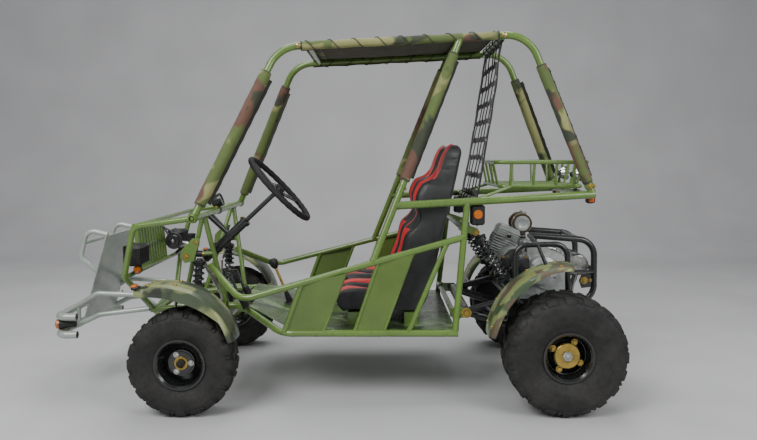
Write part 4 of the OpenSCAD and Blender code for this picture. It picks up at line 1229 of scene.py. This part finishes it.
# brackets and joints of the frame: shock towers, tube ends, clamps, weld beads
joints = Form()
plate(joints, [(600, 748), (636, 748), (688, 694), (694, 656), (674, 632), (632, 640)], 338, 5)
joints.rod(at(623, 296, 734), at(623, 337, 734), 0.008)
joints.rod(at(648, 276, 650), at(648, 337, 650), 0.008)
joints.bolt(at(668, 340, 664), LEFT, 0.010, 1)
joints.bolt(at(620, 340, 730), LEFT, 0.007, 1)
joints.lathe(A_BASE, LEFT, mm(14, 16.5, 26, 16.5, 27, 15.5, 27, 12.8, 20, 12.5), 28, 0)
joints.lathe(A_BASE, LEFT, mm(19.5, 12.6, 20.5, 12.6, 20.6, 2), 24, 2)
for z in (279, 366):
    end = fr(BAR_X - 95, 300, z)
    joints.lathe(end, -AHEAD, mm(-2, 18.3, 0.8, 18.3, 1, 14.8, -1, 14.6), 30, 3)
    joints.lathe(end, -AHEAD, mm(-0.5, 14.7, 0.3, 14.7, 0.4, 2), 24, 2)
for t in (0.078, 0.902):
    p = lerp(ROOF_FRONT, ROOF_REAR, t)
    joints.lathe(p + LEFT * 0.016, LEFT, mm(0, 12.5, 4, 12.5, 6, 10, 6.5, 4), 24, 1)
    joints.lathe(p + LEFT * 0.021, LEFT, mm(0, 6.5, 5, 6.5, 6, 5), 6, 4)
c_way = (C_BASE - ROOF_REAR).normalized()
clamp = C_BASE - c_way * 0.042
joints.collar(clamp, c_way, 12, 17.2, 21.5, 28)
joints.bolt(clamp + LEFT * 0.0212, LEFT, 0.0085, 1)
joints.bolt(clamp - AHEAD * 0.0212, -AHEAD, 0.007, 1)
for t in (0.315, 0.335):
    joints.collar(lerp(B_BASE, B_TOP, t), (B_TOP - B_BASE).normalized(), 3, 16.2, 18.5, 26)
joints.bolt(lerp(B_BASE, B_TOP, 0.325) - AHEAD * 0.017, -AHEAD, 0.0075, 1)
SHIELD_FACE = Vector((0.961, 0, 0.276))
for y in (150, 60):
    for t in (0.04, 0.5, 0.96):
        p = lerp(fr(460, y, 744), fr(582, y * 1.05, 319), t)
        joints.bolt(p + SHIELD_FACE * 0.0027, SHIELD_FACE, 0.006, 4)
# slanted posts: shares of the door rail and of the lower rail, radius
POSTS = [(0.269, 0.01, 12), (0.468, 0.231, 8), (0.612, 0.409, 8), (0.770, 0.575, 8), (0.925, 0.715, 12)]


def on_post(i, t):
    """A place on a slanted post: t from the lower rail to the door rail."""
    hi, lo, _ = POSTS[i]
    return lerp(lerp(LOW_FRONT, LOW_REAR, lo), lerp(DOOR_LOW, DOOR_REAR, hi), t)


# weld beads: bar ends, radius, distance from either end, 0 for none
beads = [(B_BASE, B_TOP, 16, 13, 16), (DECK_FRONT, DECK_REAR, 18, 16, 0),
         (along_x(DECK_FRONT, DECK_REAR, POST_TOP.x / MM), POST_LOW, 15, 17, 14)]
for i, (_, _, r) in enumerate(POSTS):
    beads.append((on_post(i, 1), on_post(i, 0), r, 14.5, 15.5))
beads += [(fr(-53, 330, 859), along_x(LOW_RAMP, LOW_NOSE, AXLE_F - 118), 12, 15.5, 15.5),
          (fr(-42, 326, 845), along_x(LOW_RAMP, LOW_NOSE, AXLE_F + 100), 11, 15, 15.5)]
for a, b, r, lift_a, lift_b in beads:
    axis = (b - a).normalized()
    for p, lift, turn in ((a, lift_a, 1), (b, lift_b, -1)):
        if not lift:
            continue
        u, v, w = axes_from(axis)
        mid = p + axis * turn * lift * MM * 1.02
        path = []
        for k, (c, s) in enumerate(circle(36)):
            ripple = w * 0.0004 * math.sin(k * 2.1)
            path.append(mid + (u * c + v * s) * (r * MM + 0.0008 * (k % 2)) + ripple)
        joints.tube(path, 0.0026, 6, True, 0)
for post, toward in ((0, 1), (1, 0), (2, 3), (3, 2)):
    for t in (0.15, 0.5, 0.85):
        p = lerp(on_post(post, t), on_post(toward, t), 0.12)
        joints.bolt(p + LEFT * 0.002, LEFT + UP * 0.1, 0.0035)
# mounts of the rear shocks on the cross tube, and lugs of the swing arm's pivot
for y in (278, 322):
    plate(joints, [(-622, 812), (-640, 813), (-702, 792), (-710, 776), (-700, 762), (-622, 782)], y, 5)
joints.rod(at(-692, 272, 774), at(-692, 328, 774), 0.008, 12, 4)
joints.bolt(at(-692, 326, 774), LEFT, 0.010, 1)
plate(joints, [(-574, 410), (-590, 418), (-664, 418), (-680, 394), (-664, 370), (-590, 370),
               (-574, 378)], 332, 8)
joints.rod(at(-652, 290, 394), at(-652, 346, 394), 0.011, 16, 4)
joints.bolt(at(-652, 336, 394), LEFT, 0.016, 1)
joints.mirrored().make("frame_joints", [GREEN, ZINC, PLASTIC, SILVER, STEEL], "chassis", "frame_green")

# column bellows and clamps, pedal pads, dash pod, horn, brake cylinder
cabin = Form()


def on_column(d):
    return WHEEL_MID + COLUMN * d


boot = [(0.425 + 0.005 * k, (0.026 if k % 2 else 0.021) - 0.0006 * k) for k in range(13)]
cabin.lathe(WHEEL_MID, COLUMN, boot + mm(485, 12.5, 425, 12.5), 26, 1, True)
for d in (0.232, 0.33, 0.415):
    cabin.collar(on_column(d), COLUMN, 9, 22.2, 26.5, 28)
    cabin.bolt(on_column(d) + TOP_WAY * 0.0262, TOP_WAY, 0.005, 2)
for y in (175, 320):
    mid = fr(-222, y, 450)
    lean = math.radians(25)
    face = Vector((math.cos(lean), 0, -math.sin(lean)))
    rise = Vector((math.sin(lean), 0, math.cos(lean)))
    cabin.block(mid - face * 0.009, (3.5, 32.5, 40.5), (face, LEFT, rise), 0.5, 1)
    for k in range(6):
        cabin.block(mid - face * 0.0135 + rise * (-0.030 + 0.012 * k), (2.5, 28, 3.2),
                    (face, LEFT, rise), 0.4, 1)
pod = fr(-52, 40, 908)
back = Vector((-0.94, 0, 0.34))
cabin.lathe(pod, back, mm(-34, 14, -30, 24, -6, 32, 18, 34, 22, 33.5, 22, 29, 17, 28.5), 36, 0)
cabin.lathe(pod, back, mm(15, 28.7, 17.5, 28.7, 18, 3), 32, 3)
cabin.block(pod + at(0, 0, -31), (12, 14, 16), soft=0.3, kind=0)
cabin.collar(fr(-53, 40, 859), LEFT, 14, 16.2, 19.5, 28)
cabin.bolt(pod + at(4, 14.5, -30), LEFT, 0.005, 2)
horn = fr(128, 205, 722)
cabin.lathe(horn, LEFT, mm(-22, 12, -18, 30, -6, 40, 4, 41.5, 8, 40, 9, 30, 14, 26, 16, 12, 20, 11,
                           20, 4), 36)
cabin.lathe(horn + LEFT * 0.019, LEFT, mm(0, 8, 4, 8, 5, 6), 6, 4)
cabin.band([horn + at(-4, -20, 4), horn + at(20, -20, 45), fr(205, 185, 800), fr(222, 185, 812)], LEFT,
           0.022, 0.004, 0)
cylinder = fr(70, 150, 700)
cabin.lathe(cylinder, AHEAD, mm(-50, 10, -48, 14, 30, 14, 34, 18, 44, 18, 48, 9), 24, 4)
cabin.lathe(cylinder + at(-12, 0, 10), UP, mm(0, 18, 30, 18.5, 32, 21, 40, 21, 42, 17), 26, 1)
cabin.band([cylinder + at(40, 0, -16), cylinder + at(70, 0, -10), fr(200, 150, 795), fr(222, 150, 810)],
           LEFT, 0.024, 0.004, 0)
cabin.make("cabin_fittings", [BLACK, RUBBER, ZINC, GLASS, STEEL], "chassis", "black_paint")

# plates and clamps of the engine guard, and a box with a reflector under each deck rail
rear = Form()
plate(rear, [(-1304, 560), (-1240, 552), (-1226, 520), (-1240, 482), (-1300, 490)], 172, 6)
rear.bolt(at(-1252, 175, 521), LEFT, 0.012, 1)
rear.bolt(at(-1284, 175, 521), LEFT, 0.006, 1)
for p in (re(195, 352, 470), re(-48, 352, 480)):
    rear.collar(p, UP, 12, 13.2, 17, 24)
    rear.bolt(p + LEFT * 0.0168, LEFT, 0.006, 1)
rear.block(re(384, 372, 862), (32, 28, 46), soft=0.25, kind=2)
rear.lathe(re(384, 399, 866), LEFT, mm(0, 21, 4, 21, 6, 19, 6.5, 4), 28, 3)
rear.bolt(re(384, 372, 816), -UP, 0.006, 1)
rear.mirrored().make("guard_plates", [BLACK, ZINC, PLASTIC, AMBER], "chassis", "black_paint")
